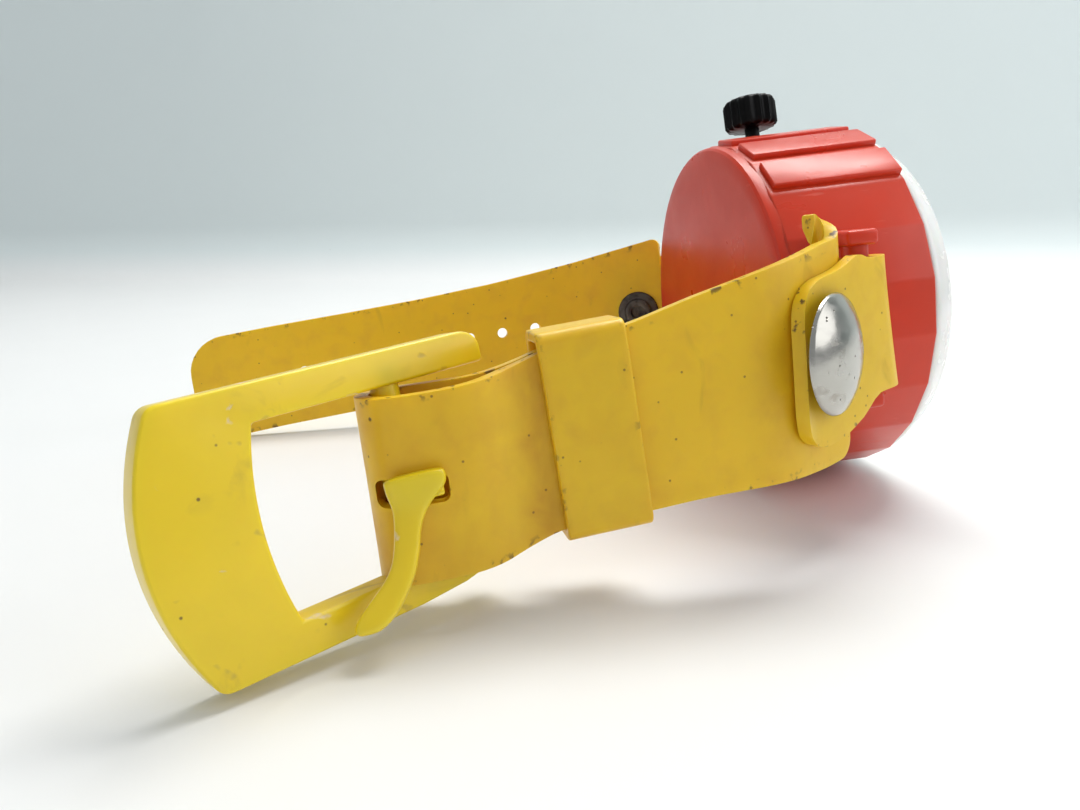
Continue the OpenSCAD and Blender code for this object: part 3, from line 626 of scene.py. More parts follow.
def red_moulding():
    base = colours().case_red
    rubbed, scorched = (0.80, 0.16, 0.10), (0.3, 0.02, 0.01)
    f = Finish("red_moulding", base, 0.27, Subsurface_Weight=0.18, Subsurface_Scale=0.004,
               Coat_Weight=0.04, Coat_Roughness=0.12, IOR=1.42)
    f.shader.inputs["Subsurface Radius"].default_value = (1.0, 0.18, 0.1)
    cloudy = f.speckle(90, 4, 0.38, 0.68, 0.4)
    marks = f.speckle(900, 2, 0.66, 0.72, where=f.stretched((1, 0.25, 1), (0.5, 0.3, 0.8)))
    dust = f.dots(900, 0.07)
    f.tint(cloudy, shade(base, 0.82), 0.6).tint(marks, rubbed, 0.2).tint(dust, scorched, 0.3)
    f.rough(cloudy, 0.1).rough(marks, 0.12).rough(dust, 0.2)
    f.raise_by(f.speckle(160, 3, 0.2, 0.8), 0.00004).raise_by(marks, -0.000006)
    return f.made()


def white_moulding():
    base = colours().bezel_white
    yellowed = (0.62, 0.58, 0.5)
    f = Finish("white_moulding", base, 0.22, Subsurface_Weight=0.2, Subsurface_Scale=0.003,
               Coat_Weight=0.3, Coat_Roughness=0.1)
    worn = f.speckle(420, 5, 0.55, 0.75)
    f.tint(f.speckle(60, 3, 0.3, 0.75), shade(base, 0.93), 0.6).tint(worn, yellowed, 0.18)
    f.rough(worn, 0.2).raise_by(worn, -0.00001).raise_by(f.speckle(200), 0.00001)
    return f.made()


def clear_moulding():
    water, haze = (0.97, 0.98, 0.99), (0.92, 0.94, 0.95)
    f = Finish("clear_moulding", water, 0.03, Transmission_Weight=1.0, IOR=1.46)
    scratches = f.speckle(700, 2, 0.62, 0.7, where=f.stretched((1, 0.06, 1), (0.2, 0.6, 1.1)))
    f.rough(scratches, 0.12).raise_by(scratches, -0.000002)
    f.tint(f.speckle(200), haze, 0.4)
    return f.made()


def strap_vinyl():
    c = colours()
    base = c.strap_amber
    tan, stain_and_shade_brown = (0.62, 0.33, 0.03), (0.60, 0.29, 0.012)
    soot, torn = (0.08, 0.04, 0.015), (0.07, 0.035, 0.015)
    f = Finish("strap_vinyl", base, 0.36, Subsurface_Weight=0.22, Subsurface_Scale=0.0025,
               Coat_Weight=0.05, Coat_Roughness=0.25, Specular_IOR_Level=0.38)
    f.shader.inputs["Subsurface Radius"].default_value = (1.0, 0.5, 0.08)
    broad = f.speckle(55, 4, 0.35, 0.7, 0.6)
    fine = f.speckle(320, 5, 0.48, 0.75, 0.3)
    specks = f.dots(420, 0.075)
    pits = f.dots(190, 0.05)
    smears = f.speckle(260, 4, 0.64, 0.78, 0.8, where=f.stretched((1, 1, 0.35), (0.1, 0.4, 0.2)))
    # The point attribute read here holds brown stains beside the flap, a darker band at the bulge's creased line,
    # and painted shade in the fold, over the stretch past the keeper and over the whole keeper.
    grime = f.attribute("grime")
    edge = f.attribute("edge")
    nicks = f.maths("MULTIPLY", edge, f.speckle(650, 4, 0.6, 0.66))
    stain_and_shade_mask = f.maths("MULTIPLY", grime, f.speckle(210, 4, 0.25, 0.7, 0.5))
    f.tint(broad, shade(base, 0.86), 0.55).tint(fine, tan, 0.28)
    # The brown tint laid over these points is partly stains and partly painted shade.
    f.tint(stain_and_shade_mask, stain_and_shade_brown, 0.85).tint(smears, c.grime, 0.22)
    f.tint(specks, c.grime, 0.75).tint(pits, soot, 0.85).tint(nicks, torn, 0.9)
    f.rough(fine, 0.12).rough(broad, 0.06).rough(smears, 0.15).rough(specks, 0.3)
    f.raise_by(f.speckle(130, 3, 0.2, 0.8, 0.4), 0.00010).raise_by(f.speckle(900, 3, 0.3, 0.7), 0.000006)
    f.raise_by(pits, -0.00008).raise_by(specks, 0.00002).raise_by(smears, -0.00001)
    return f.made()


def lemon_moulding():
    c = colours()
    base = c.buckle_lemon
    olive, scored, chalky = (0.42, 0.28, 0.03), (0.40, 0.27, 0.05), (0.78, 0.62, 0.45)
    f = Finish("lemon_moulding", base, 0.3, Subsurface_Weight=0.3, Subsurface_Scale=0.003,
               Coat_Weight=0.2, Coat_Roughness=0.2)
    f.shader.inputs["Subsurface Radius"].default_value = (1.0, 0.8, 0.05)
    broad = f.speckle(70, 4, 0.35, 0.7, 0.5)
    scuffs = f.speckle(240, 5, 0.655, 0.69, 0.7, where=f.stretched((1, 0.6, 1), (0.3, 0.2, 0.5)))
    scratches = f.speckle(500, 3, 0.66, 0.7, where=f.stretched((1, 0.08, 0.5), (0.7, 0.2, 0.4)))
    specks = f.dots(330, 0.07)
    dirt = f.speckle(170, 6, 0.6, 0.8, 1.0)
    f.tint(broad, shade(base, 0.84), 0.5).tint(dirt, olive, 0.4)
    f.tint(scratches, scored, 0.45).tint(scuffs, chalky, 0.8).tint(specks, c.grime, 0.85)
    f.rough(scuffs, 0.35).rough(dirt, 0.15).rough(broad, 0.08).rough(specks, 0.3)
    f.raise_by(f.speckle(160, 3, 0.2, 0.8, 0.3), 0.00006).raise_by(scuffs, -0.00004)
    f.raise_by(scratches, -0.00002).raise_by(f.speckle(1100, 2, 0.3, 0.7), 0.000004)
    return f.made()


def nickel_plate():
    tarnish, hollow, polished = (0.30, 0.26, 0.21), (0.05, 0.04, 0.03), (0.5, 0.48, 0.45)
    f = Finish("nickel_plate", colours().nickel, 0.16, Metallic=1.0)
    pits = f.dots(700, 0.11)
    blooms = f.speckle(300, 6, 0.58, 0.72, 0.6)
    wiped = f.speckle(900, 3, 0.4, 0.7, where=f.stretched((1, 0.2, 1), (0.2, 0.9, 0.3)))
    f.tint(blooms, tarnish, 0.6).tint(pits, hollow, 0.9).tint(wiped, polished, 0.3)
    f.rough(blooms, 0.3).rough(wiped, 0.12).rough(pits, 0.5)
    f.raise_by(pits, -0.00006).raise_by(wiped, 0.000004).raise_by(f.speckle(200), 0.00002)
    return f.made()


def dark_plate():
    brown, black, rust = (0.10, 0.085, 0.075), (0.03, 0.02, 0.018), (0.28, 0.2, 0.13)
    f = Finish("dark_plate", brown, 0.42, Metallic=0.85)
    stains = f.speckle(500, 5, 0.45, 0.65, 0.5)
    f.tint(stains, black, 0.8).tint(f.dots(800, 0.1), rust, 0.5)
    f.rough(stains, 0.25).raise_by(stains, -0.00004)
    return f.made()


def black_moulding():
    greyed, dust = (0.008, 0.008, 0.009), (0.05, 0.05, 0.05)
    f = Finish("black_moulding", colours().knob_black, 0.34, Specular_IOR_Level=0.12)
    worn = f.speckle(500, 4, 0.55, 0.75)
    f.tint(worn, greyed, 0.6).tint(f.dots(900, 0.08), dust, 0.4)
    f.rough(worn, 0.2).raise_by(worn, -0.00001).raise_by(f.speckle(300), 0.00001)
    return f.made()


def plain_finish(name, base, roughness, darker, metallic=0.0):
    f = Finish(name, base, roughness, Metallic=metallic)
    worn = f.speckle(350, 4, 0.45, 0.7)
    f.tint(worn, darker, 0.5).tint(f.dots(700, 0.07), shade(darker, 0.5), 0.4)
    f.rough(worn, 0.15).raise_by(worn, -0.00001)
    return f.made()


# The finish of each material slot in the record, and that of the print on the dial
FINISH_NAMES = {
    "red_plastic": "red_moulding", "white_plastic": "white_moulding", "clear_plastic": "clear_moulding",
    "dial_card": "dial_print", "nylon": "nylon_moulding", "black_plastic": "black_moulding",
    "hand_black": "hand_lacquer", "amber_vinyl": "strap_vinyl", "lemon_plastic": "lemon_moulding",
    "nickel": "nickel_plate", "dark_nickel": "dark_plate", "steel": "bright_steel", "ink": "dial_ink",
}


def finishes():
    """The finishes of the watch by slot. They are made once and shared."""
    if not bpy.data.materials.get("red_moulding"):
        c = colours()
        for make in (red_moulding, white_moulding, clear_moulding, strap_vinyl, lemon_moulding,
                     nickel_plate, dark_plate, black_moulding):
            make()
        plain_finish("dial_print", c.dial, 0.45, shade(c.dial, 0.85))
        plain_finish("dial_ink", c.ink, 0.4, (0.06, 0.06, 0.06))
        plain_finish("nylon_moulding", (0.80, 0.78, 0.70), 0.4, (0.62, 0.58, 0.47))
        plain_finish("hand_lacquer", (0.01, 0.01, 0.012), 0.25, (0.04, 0.04, 0.04))
        plain_finish("bright_steel", (0.60, 0.59, 0.57), 0.24, (0.33, 0.31, 0.28), 1.0)
    return {slot: bpy.data.materials[name] for slot, name in FINISH_NAMES.items()}


# ---------------------------------------------------------------- pieces


class WATCH_OT_case(bpy.types.Operator):
    """Builds the faceted case with its back, pads and lugs"""

    bl_idname = "toy_watch.case"
    bl_label = "Case"

    def execute(self, context):
        s = case_sizes()
        facet = 2 * math.pi / s.facets
        parts = [self.side(s, facet), turned("case_rim", [
            (0, 0), (s.rim - 2.4 * MM, 0), (s.rim - 1.0 * MM, 0.06 * MM), (s.rim - 0.45 * MM, 0.22 * MM),
            (s.rim - 0.12 * MM, 0.55 * MM), (s.rim, 1.0 * MM), (s.rim, 2.0 * MM), (0, 1.9 * MM)], 132)]
        parts += [self.pad(s, facet, i) for i in (-3, -2, -1, 1, 2, 3)]
        for way in (-1, 1):
            parts += self.lug(s, way)
        parts += [self.boss(turn) for turn in (20, 140, 260)]
        finished(joined("case_body", *parts), "case", "red_plastic", "case_cup", smooth=28)
        return {"FINISHED"}

    @staticmethod
    def side(s, facet):
        """The faceted wall and the floor of the cup, with the hole for the stem."""
        inner = s.cavity / math.cos(facet / 2)
        hole_radius = 1.95 * MM

        def ring(radius, z):
            turns = [math.pi / 2 + i * facet for i in range(s.facets)]
            return [Vector((radius * math.cos(turn), radius * math.sin(turn), z)) for turn in turns]

        side = rolled("case_side", [
            ring(s.corner_radius - s.draft / 2, s.rim_height),
            ring(s.corner_radius + s.draft / 2, s.depth),
            ring(inner, s.depth), ring(inner, s.back_wall)])
        hole = rod("stem_hole", hole_radius, (0, 0, s.corner_radius / 2), (0, 0, s.corner_radius * 1.2))
        cut(side, place(hole, knob_way()))
        return soften(side, s.soft_edge, limit=12)

    @staticmethod
    def pad(s, facet, i):
        """A raised pad on the facet that is i places from the knob's, tilted with the draft."""
        margin, sunk, start = 1.0 * MM, 1.0 * MM, 2.5 * MM
        apothem = s.corner_radius * math.cos(facet / 2)
        half = s.corner_radius * math.sin(facet / 2) - margin
        pad = block("pad", (s.pad_height + sunk, 2 * half, s.depth - start),
                    (apothem + (s.pad_height - sunk) / 2, 0, (s.depth + start) / 2))
        soften(pad, 0.3 * MM)
        middle = Matrix.Translation((apothem, 0, (s.depth + s.rim_height) / 2))
        slope = math.atan(s.draft * math.cos(facet / 2) / (s.depth - s.rim_height))
        place(pad, middle @ Matrix.Rotation(slope, 4, "Y") @ middle.inverted())
        return place(pad, Matrix.Rotation(math.pi / 2 - facet / 2 + i * facet, 4, "Z"))

    @staticmethod
    def lug(s, way):
        """Two posts on one side of the case, and the bar between them."""
        sunk, past, height = 0.5 * MM, 2.2 * MM, 4.2 * MM
        foot = math.sqrt(s.cavity ** 2 - (s.lug_gap / 2) ** 2) + sunk
        tip = s.lug_x + past
        half = (s.lug_gap + s.lug_post) / 2
        size, middle, x = (tip - foot, s.lug_post, height), way * (foot + tip) / 2, way * s.lug_x
        posts = [soften(block("lug_post", size, (middle, y, s.lug_z)), 0.55 * MM, segments=4)
                 for y in (-half, half)]
        return posts + [rod("lug_bar", s.lug_bar, (x, -half, s.lug_z), (x, half, s.lug_z))]

    @staticmethod
    def boss(turn):
        """A tube inside the case that takes a screw of the movement's plate."""
        bore, radius, foot, top, at = 0.7 * MM, 1.9 * MM, 1.5 * MM, 15.0 * MM, 17.6 * MM
        boss = turned("boss", [(bore, foot), (radius, foot), (radius, top), (bore, top)], 32)
        middle = Matrix.Rotation(math.radians(turn), 4, "Z") @ Vector((at, 0, 0))
        return place(boss, Matrix.Translation(middle))


class WATCH_OT_front(bpy.types.Operator):
    """Builds the bezel, the crystal and the printed dial"""

    bl_idname = "toy_watch.front"
    bl_label = "Bezel, crystal and dial"

    bore = 21.2 * MM  # radius of the bezel's seat for the crystal
    lip = 0.8 * MM  # thickness of the bezel's lip and of the crystal

    def execute(self, context):
        s = case_sizes()
        top = s.depth + s.bezel_height
        self.bezel(s, top)
        self.crystal(s, top - self.lip)
        self.dial(s)
        self.figures(s)
        return {"FINISHED"}

    def bezel(self, s, top):
        edge = s.corner_radius * math.cos(math.pi / s.facets)
        foot, spigot = s.dial_z - 3.0 * MM, s.cavity - 0.1 * MM
        bezel = turned("bezel_ring", [
            (self.bore, foot), (spigot, foot), (spigot, s.depth), (edge, s.depth), (edge, s.depth + 0.8 * MM),
            (s.bezel_top + 1.0 * MM, s.depth + 2.4 * MM), (s.bezel_top, top), (s.window, top),
            (s.window, top - self.lip), (self.bore, top - self.lip)], 144)
        soften(bezel, 0.3 * MM, limit=20)
        finished(bezel, "case", "white_plastic", "bezel")

    def crystal(self, s, seat):
        """A dome in the window, with a flange behind the bezel's lip."""
        play = 0.1 * MM
        reach, flange = s.window - play, self.bore - play
        dome = (reach ** 2 + s.crystal_rise ** 2) / (2 * s.crystal_rise)

        def face(radius, drop):
            steps = [radius * k / 12 for k in range(13)]
            return [(r, seat + s.crystal_rise - dome + math.sqrt((dome - drop) ** 2 - r ** 2)) for r in steps]

        crystal = turned("crystal_dome", [
            *face(reach, 0), (flange, seat), (flange, seat - self.lip), (reach - self.lip, seat - self.lip),
            *reversed(face(reach - self.lip, self.lip))], 128)
        finished(crystal, "case", "clear_plastic", "crystal")

    def dial(self, s):
        """A disc with a hole for the hour wheel's tube and a fine groove round the minute marks."""
        hole, radius, under = 2.15 * MM, 21 * MM, s.dial_z - 0.7 * MM
        dial = turned("dial_disc", [
            (hole, under), (radius, under), (radius, s.dial_z), (18.6 * MM, s.dial_z),
            (18.4 * MM, s.dial_z - 0.08 * MM), (18.1 * MM, s.dial_z), (hole, s.dial_z)], 128)
        soften(dial, 0.08 * MM, limit=40, segments=2)
        finished(dial, "case", "dial_card", "dial")

    def figures(self, s):
        """Minute marks and plain hour numbers, which read upright with the knob at three o'clock."""
        marks_at, numbers_at, print_z = 17.9 * MM, 13.7 * MM, s.dial_z + 0.02 * MM
        marks = []
        for minute in range(60):
            wide, long = (0.7 * MM, 1.8 * MM) if minute % 5 == 0 else (0.3 * MM, 0.9 * MM)
            mark = block("mark", (wide, long, 0.05 * MM), (0, marks_at - long / 2, print_z))
            marks.append(place(mark, Matrix.Rotation(-minute * math.pi / 30, 4, "Z")))
        for hour in range(1, 13):
            deselect()
            bpy.ops.object.text_add(location=(0, 0, 0))
            text = bpy.context.object
            text.data.body = str(hour)
            text.data.size = 4.2 * MM
            text.data.align_x = text.data.align_y = "CENTER"
            text.data.extrude = 0.02 * MM
            bpy.ops.object.convert(target="MESH")
            turn = math.pi / 2 - hour * math.pi / 6
            spot = Vector((numbers_at * math.cos(turn), numbers_at * math.sin(turn), print_z))
            marks.append(place(named("number"), Matrix.Translation(spot)))
        way = knob_way().to_3x3() @ UP
        upright = Matrix.Rotation(math.atan2(way.y, way.x), 4, "Z")
        finished(joined("dial_figures", *marks), "case", "dial_card", matrix=upright, finish="ink")


class WATCH_OT_knob(bpy.types.Operator):
    """Builds the fluted winding knob"""

    bl_idname = "toy_watch.knob"
    bl_label = "Knob"

    def execute(self, context):
        s = case_sizes()
        r, h = s.knob, s.knob_height
        base = s.corner_radius * math.cos(math.pi / s.facets) + s.knob_gap
        flutes, flute_depth = 16, 0.10
        plain, run_in = 0.78, 0.15  # shares of the radius without flutes, and over which they deepen
        knob = turned("winding_knob", [
            (0, 0), (1.15 * MM, 0), (r * 0.8, 0), (r * 0.93, 0.12 * MM), (r, 0.55 * MM), (r, h * 0.35),
            (r, h * 0.6), (r, h - 0.95 * MM), (r * 0.965, h - 0.5 * MM), (r * 0.88, h - 0.16 * MM),
            (r * 0.74, h - 0.02 * MM), (r * 0.6, h - 0.06 * MM), (0, h - 0.1 * MM)], flutes * 12)
        for vertex in knob.data.vertices:
            x, y, z = vertex.co
            radius = math.hypot(x, y)
            keep = 1.0
            if radius >= r * plain:
                wave = 0.5 - 0.5 * math.cos(flutes * math.atan2(y, x))
                keep -= flute_depth * wave ** 0.7 * min(1, (radius / r - plain) / run_in)
            vertex.co = (x * keep, y * keep, z + base)
        finished(knob, "crown", "black_plastic", "crown_knob", matrix=knob_way(), smooth=40)
        return {"FINISHED"}


class WATCH_OT_strap(bpy.types.Operator):
    """Builds the two strap halves, each one sheet of vinyl from its flap to its far end"""

    bl_idname = "toy_watch.strap"
    bl_label = "Strap halves"

    columns = 20
    corner = 1.7 * MM  # rounding of the shoulders
    ear_length = 4 * MM  # stretch of the shoulder that is rolled in

    def half(self, name, legs, splay, sag, shares, width, end_round, mirrored):
        """One half as a sheet, with a row of points across it at each station along its route. It is drawn
        at the lug on the side of -X, and mirrored for the other one."""
        s, c = strap_sizes(), case_sizes()
        route = StrapRoute((s.flap, s.wrap), 180, FLAP_LEGS + MERGE_LEGS + legs)
        bar_at = s.flap + math.pi * s.wrap
        flap_round = s.flap_width / 4
        neck_end, widening = 0.4 * MM, 2.9 * MM  # drop to which the neck goes, and over which the flap widens
        ripple, ripples_along, ripples_across = 0.09 * MM, 70, 60

        def drop(distance):
            """Height below the lug bar."""
            return c.lug_z - bench_point(route.at(distance)[0], 0, splay).z

        places = [i * 0.05 * MM for i in range(4000)]
        turn_at = next(at for at in places if at > bar_at - 0.5 * MM and drop(at) > s.shoulder_start)

        def half_width(distance):
            """Half the sheet's width: flap, neck between the lug's posts, shoulders and taper."""
            below = drop(distance)
            if distance < turn_at:
                share = eased(min(1, max(0, (below - neck_end) / widening)))
                wide = s.neck + (s.flap_width - s.neck) * share if distance < bar_at else s.neck
                return wide / 2 - drawn_in(flap_round, distance)
            wide = width + (s.shoulder - width) * softened(below, TAPER_SHARES, 3.0)
            ends = drawn_in(self.corner, distance - turn_at) + drawn_in(end_round, route.length - distance)
            return wide / 2 - ends

        stations = self.stations(route, turn_at, flap_round, end_round)
        shoulder_half = half_width(turn_at)
        rows, grime, edges = [], [], []
        for distance in stations:
            middle, heading = route.at(distance)
            out = Vector((-math.sin(heading), math.cos(heading)))
            wide = half_width(distance)
            sagged = softened(drop(distance), shares) * -sag
            row = []
            for k in range(self.columns + 1):
                share = 2 * k / self.columns - 1
                across = wide * share
                if bar_at < distance < turn_at:
                    across = max(-wide, min(wide, shoulder_half * share))
                down = inwards = rise = 0.0
                if not mirrored:
                    down, inwards, rise = self.ear(distance - turn_at, share * s.shoulder / 2)
                shift = Vector((down - self.flare(distance, share, bar_at), -inwards))
                spot = middle + out * self.lift(distance) + shift
                across += rise
                where = Vector((distance * ripples_along, across * ripples_across, len(name)))
                point = bench_point(spot + out * (noise.noise(where) * ripple), across + sagged, splay)
                if mirrored:
                    point.x = -point.x
                row.append(point)
                edges.append(peak(abs(share), 1, 0.1))
            rows.append(row)
            # Share of the brown tint at this row: stains, and painted shade towards the buckle.
            grime += [self.stained((distance - turn_at) / MM, mirrored)] * len(row)
        obj = sheet(name, rows)
        self.open_web(obj, stations.index(turn_at))
        store(obj, grime=grime, edge=edges)
        return obj

    def stations(self, route, turn_at, flap_round, end_round):
        """Distances along the route of the rows of points, which stand close at bends and corners."""
        step = 0.02 * MM  # from the neck's last row to the shoulders' first
        found = {0.0, turn_at - step, turn_at, route.length}
        for k in range(1, 9):
            share = 1 - math.cos(k * math.pi / 16)
            found |= {flap_round * share, route.length - end_round * share}
        found.update(turn_at + self.corner * (1 - math.cos(k * math.pi / 12)) for k in range(1, 7))
        found.update(turn_at + self.ear_length * k / 16 for k in range(1, 17))
        for run, size, turn, _, _ in route.legs:
            steps = max(1, math.ceil(size / MM), math.ceil(abs(math.degrees(turn)) / 7))
            found.update(run + size * k / steps for k in range(steps + 1))
        found = sorted(found)
        kept = found[:1]
        for value in found[1:]:
            near_step = min(abs(value - turn_at), abs(kept[-1] - turn_at)) < 0.03 * MM
            if value - kept[-1] > (0.015 if near_step else 0.12) * MM:
                kept.append(value)
        return kept

    def open_web(self, obj, step):
        """Deletes the slivers beside the neck, between its last row of points and the shoulders' first."""
        per_row, narrowest = self.columns + 1, 0.02 * MM

        def sliver(face):
            rows = {v // per_row for v in face.vertices}
            neck = [obj.data.vertices[v].co for v in face.vertices if v // per_row == step - 1]
            return rows == {step - 1, step} and (neck[0] - neck[1]).length < narrowest

        choose(obj, "FACE", sliver)
        bpy.ops.mesh.delete(type="ONLY_FACE")
        done()

    @staticmethod
    def lift(distance):
        """Outward shift of the sheet: the flap's end hugs the strap."""
        reach = 2.2 * MM
        return -0.45 * MM * (1 - min(distance, reach) / reach) ** 2

    def ear(self, past, across):
        """Shift of the shoulder's upper corner, which is rolled in: down the strap, inwards and across."""
        s = strap_sizes()
        margin, blend = 0.9 * MM, 2.2 * MM  # beside the neck, flat and then more and more rolled
        flat, extra, full_turn = 2.8 * MM, 3.2 * MM, 3.3
        share = min(1, (across - s.neck / 2 - margin) / blend)
        if not 0 <= past < self.ear_length or share <= 0:
            return 0.0, 0.0, 0.0
        share = eased(share)
        radius = s.ear_radius / share
        arc = (self.ear_length + extra * share) * (1 - past / self.ear_length)
        turn = max(0.0, arc - flat) / radius
        ahead = min(arc, flat) + radius * math.sin(turn)
        return self.ear_length - past - ahead, radius * (1 - math.cos(turn)), extra * share * turn / full_turn

    @staticmethod
    def flare(distance, share, bar_at):
        """Rise of the fold round the lug bar, towards its lower side."""
        s = strap_sizes()
        start, stop = s.flap - 5 * MM, bar_at + 1 * MM
        if not start < distance < stop:
            return 0.0
        swell = math.sin(math.pi * (distance - start) / (stop - start)) ** 1.5
        return s.flare * swell * (0.5 - share * 0.5) ** 1.3

    @staticmethod
    def stained(past, mirrored):
        """Share of the brown tint, by millimetres past the shoulder: stains beside the flap, a darker band at the
        bulge's creased line, painted shade in the fold round the buckle's bar and over the whole stretch from 38
        mm on, and on the long half a light tint near its shoulder.
        """
        if mirrored:
            return 0.25 * peak(past, 6, 8)
        beside_flap = 0.55 * peak(past, 12.5, 4.5)
        bulge = peak(past, 40.1, 4)
        # Painted shade in the fold round the buckle's bar.
        fold = 0.3 * peak(past, 61.3, 4)
        # Painted shade: everything from about 38 mm past the shoulder on towards the buckle is darker.
        painted_shade_past_keeper = 0.45 * min(1.0, max(0.0, (past - 38) / 8))
        return min(1.0, bulge + fold + beside_flap + painted_shade_past_keeper)

    def execute(self, context):
        s, c = strap_sizes(), case_sizes()
        short = self.half("strap_buckle_half", SHORT_LEGS, s.short_splay, s.short_sag, SHORT_SAG_SHARES,
                          s.width, 1.5 * MM, False)
        long = self.half("strap_long_half", LONG_LEGS, s.long_splay, s.long_sag, LONG_SAG_SHARES,
                         s.tail_width, 6.4 * MM, True)
        for obj in (short, long):
            tidy(obj, 1e-7)
            apply_modifier(obj, "SOLIDIFY", thickness=s.thickness, offset=0, use_even_offset=False)
            tidy(obj, 1e-7)
        in_fold = Vector((-FOLD_RADIUS * MM, -0.1 * MM, 0.55 * MM))
        slot = block("tongue_slot", (9 * MM, 3.0 * MM, 7.4 * MM), buckle_bar() + in_fold)
        cut(short, soften(slot, 0.8 * MM, segments=4))
        holes = []
        for i in range(s.holes):
            below = s.first_hole + i * s.pitch + c.lug_z
            y, z = -s.long_sag * softened(below, LONG_SAG_SHARES), c.lug_z - below
            holes.append(rod("hole", s.hole, (20 * MM, y, z), (60 * MM, y, z), 24))
        cut(long, joined("holes", *holes))
        for obj, body in ((short, "strap_short"), (long, "strap_long")):
            soften(obj, 0.42 * MM, limit=50, segments=4)
            finished(obj, body, "amber_vinyl", body, smooth=40)
        return {"FINISHED"}


class WATCH_OT_rivets(bpy.types.Operator):
    """Builds the domed rivet caps and their clenched sockets"""

    bl_idname = "toy_watch.rivets"
    bl_label = "Rivets"

    def execute(self, context):
        s = strap_sizes()
        self.rivet("short", 11.4 * MM, math.radians(11), s.short_sag, SHORT_SAG_SHARES, s.short_splay, 0.9 * MM)
        self.rivet("long", 10.2 * MM, 0.0, s.long_sag, LONG_SAG_SHARES, s.long_splay, 0)
        return {"FINISHED"}

    @staticmethod
    def rivet(half, at, lean, sag, shares, splay, raised):
        """A cap and its socket on a half of the strap, at a distance from its lug bar. They are drawn along
        +Z from the strap's outer side, with the socket below the two thicknesses that they clench."""
        s, c = strap_sizes(), case_sizes()
        stack = 2 * s.thickness + 0.1 * MM
        r, h = s.cap, s.cap_height
        lift = r * math.sin(lean) * 0.6  # a leaning cap stands off the strap
        cap = turned("rivet_dome_" + half, [
            (0, -stack), (1.45 * MM, -stack), (1.5 * MM, -1 * MM), (1.5 * MM, lift), (r * 0.97, lift),
            (r, lift + 0.08 * MM), (r * 0.995, lift + 0.3 * MM), (r * 0.965, lift + 0.52 * MM),
            (r * 0.93, lift + 0.62 * MM), (r * 0.84, lift + h * 0.50), (r * 0.7, lift + h * 0.70),
            (r * 0.52, lift + h * 0.86), (r * 0.32, lift + h * 0.955), (r * 0.12, lift + h * 0.995),
            (0, lift + h)])
        base = -stack - 3.4 * MM * math.sin(lean)
        profile = [(0, 0.05), (0, 0.2), (1.25, 0.2), (1.35, 1.0), (1.9, 1.15), (2.4, 1.0), (2.65, 0.6),
                   (3.0, 0.5), (3.4, 0.55), (3.75, 0.42), (3.9, 0.2), (3.85, 0.05)]
        ring = turned("rivet_ring_" + half, [(radius * MM, base - depth * MM) for radius, depth in profile], 72)
        below = at * math.cos(splay) - s.wrap * math.sin(splay)
        across = raised - sag * softened(below, shares, 0.1)
        spot = (Matrix.Translation((-c.lug_x, across, c.lug_z)) @ Matrix.Rotation(splay, 4, "Y")
                @ Matrix.Translation((-s.wrap - s.thickness / 2, 0, -at))
                @ Matrix.Rotation(lean - math.pi / 2, 4, "Y"))
        if half == "long":
            spot = Matrix.Scale(-1, 4, (1, 0, 0)) @ spot
        for obj, slot, node in ((cap, "nickel", "rivet_cap_"), (ring, "dark_nickel", "rivet_socket_")):
            tidy(place(obj, spot))
            finished(obj, "strap_" + half, slot, node + half, smooth=35)


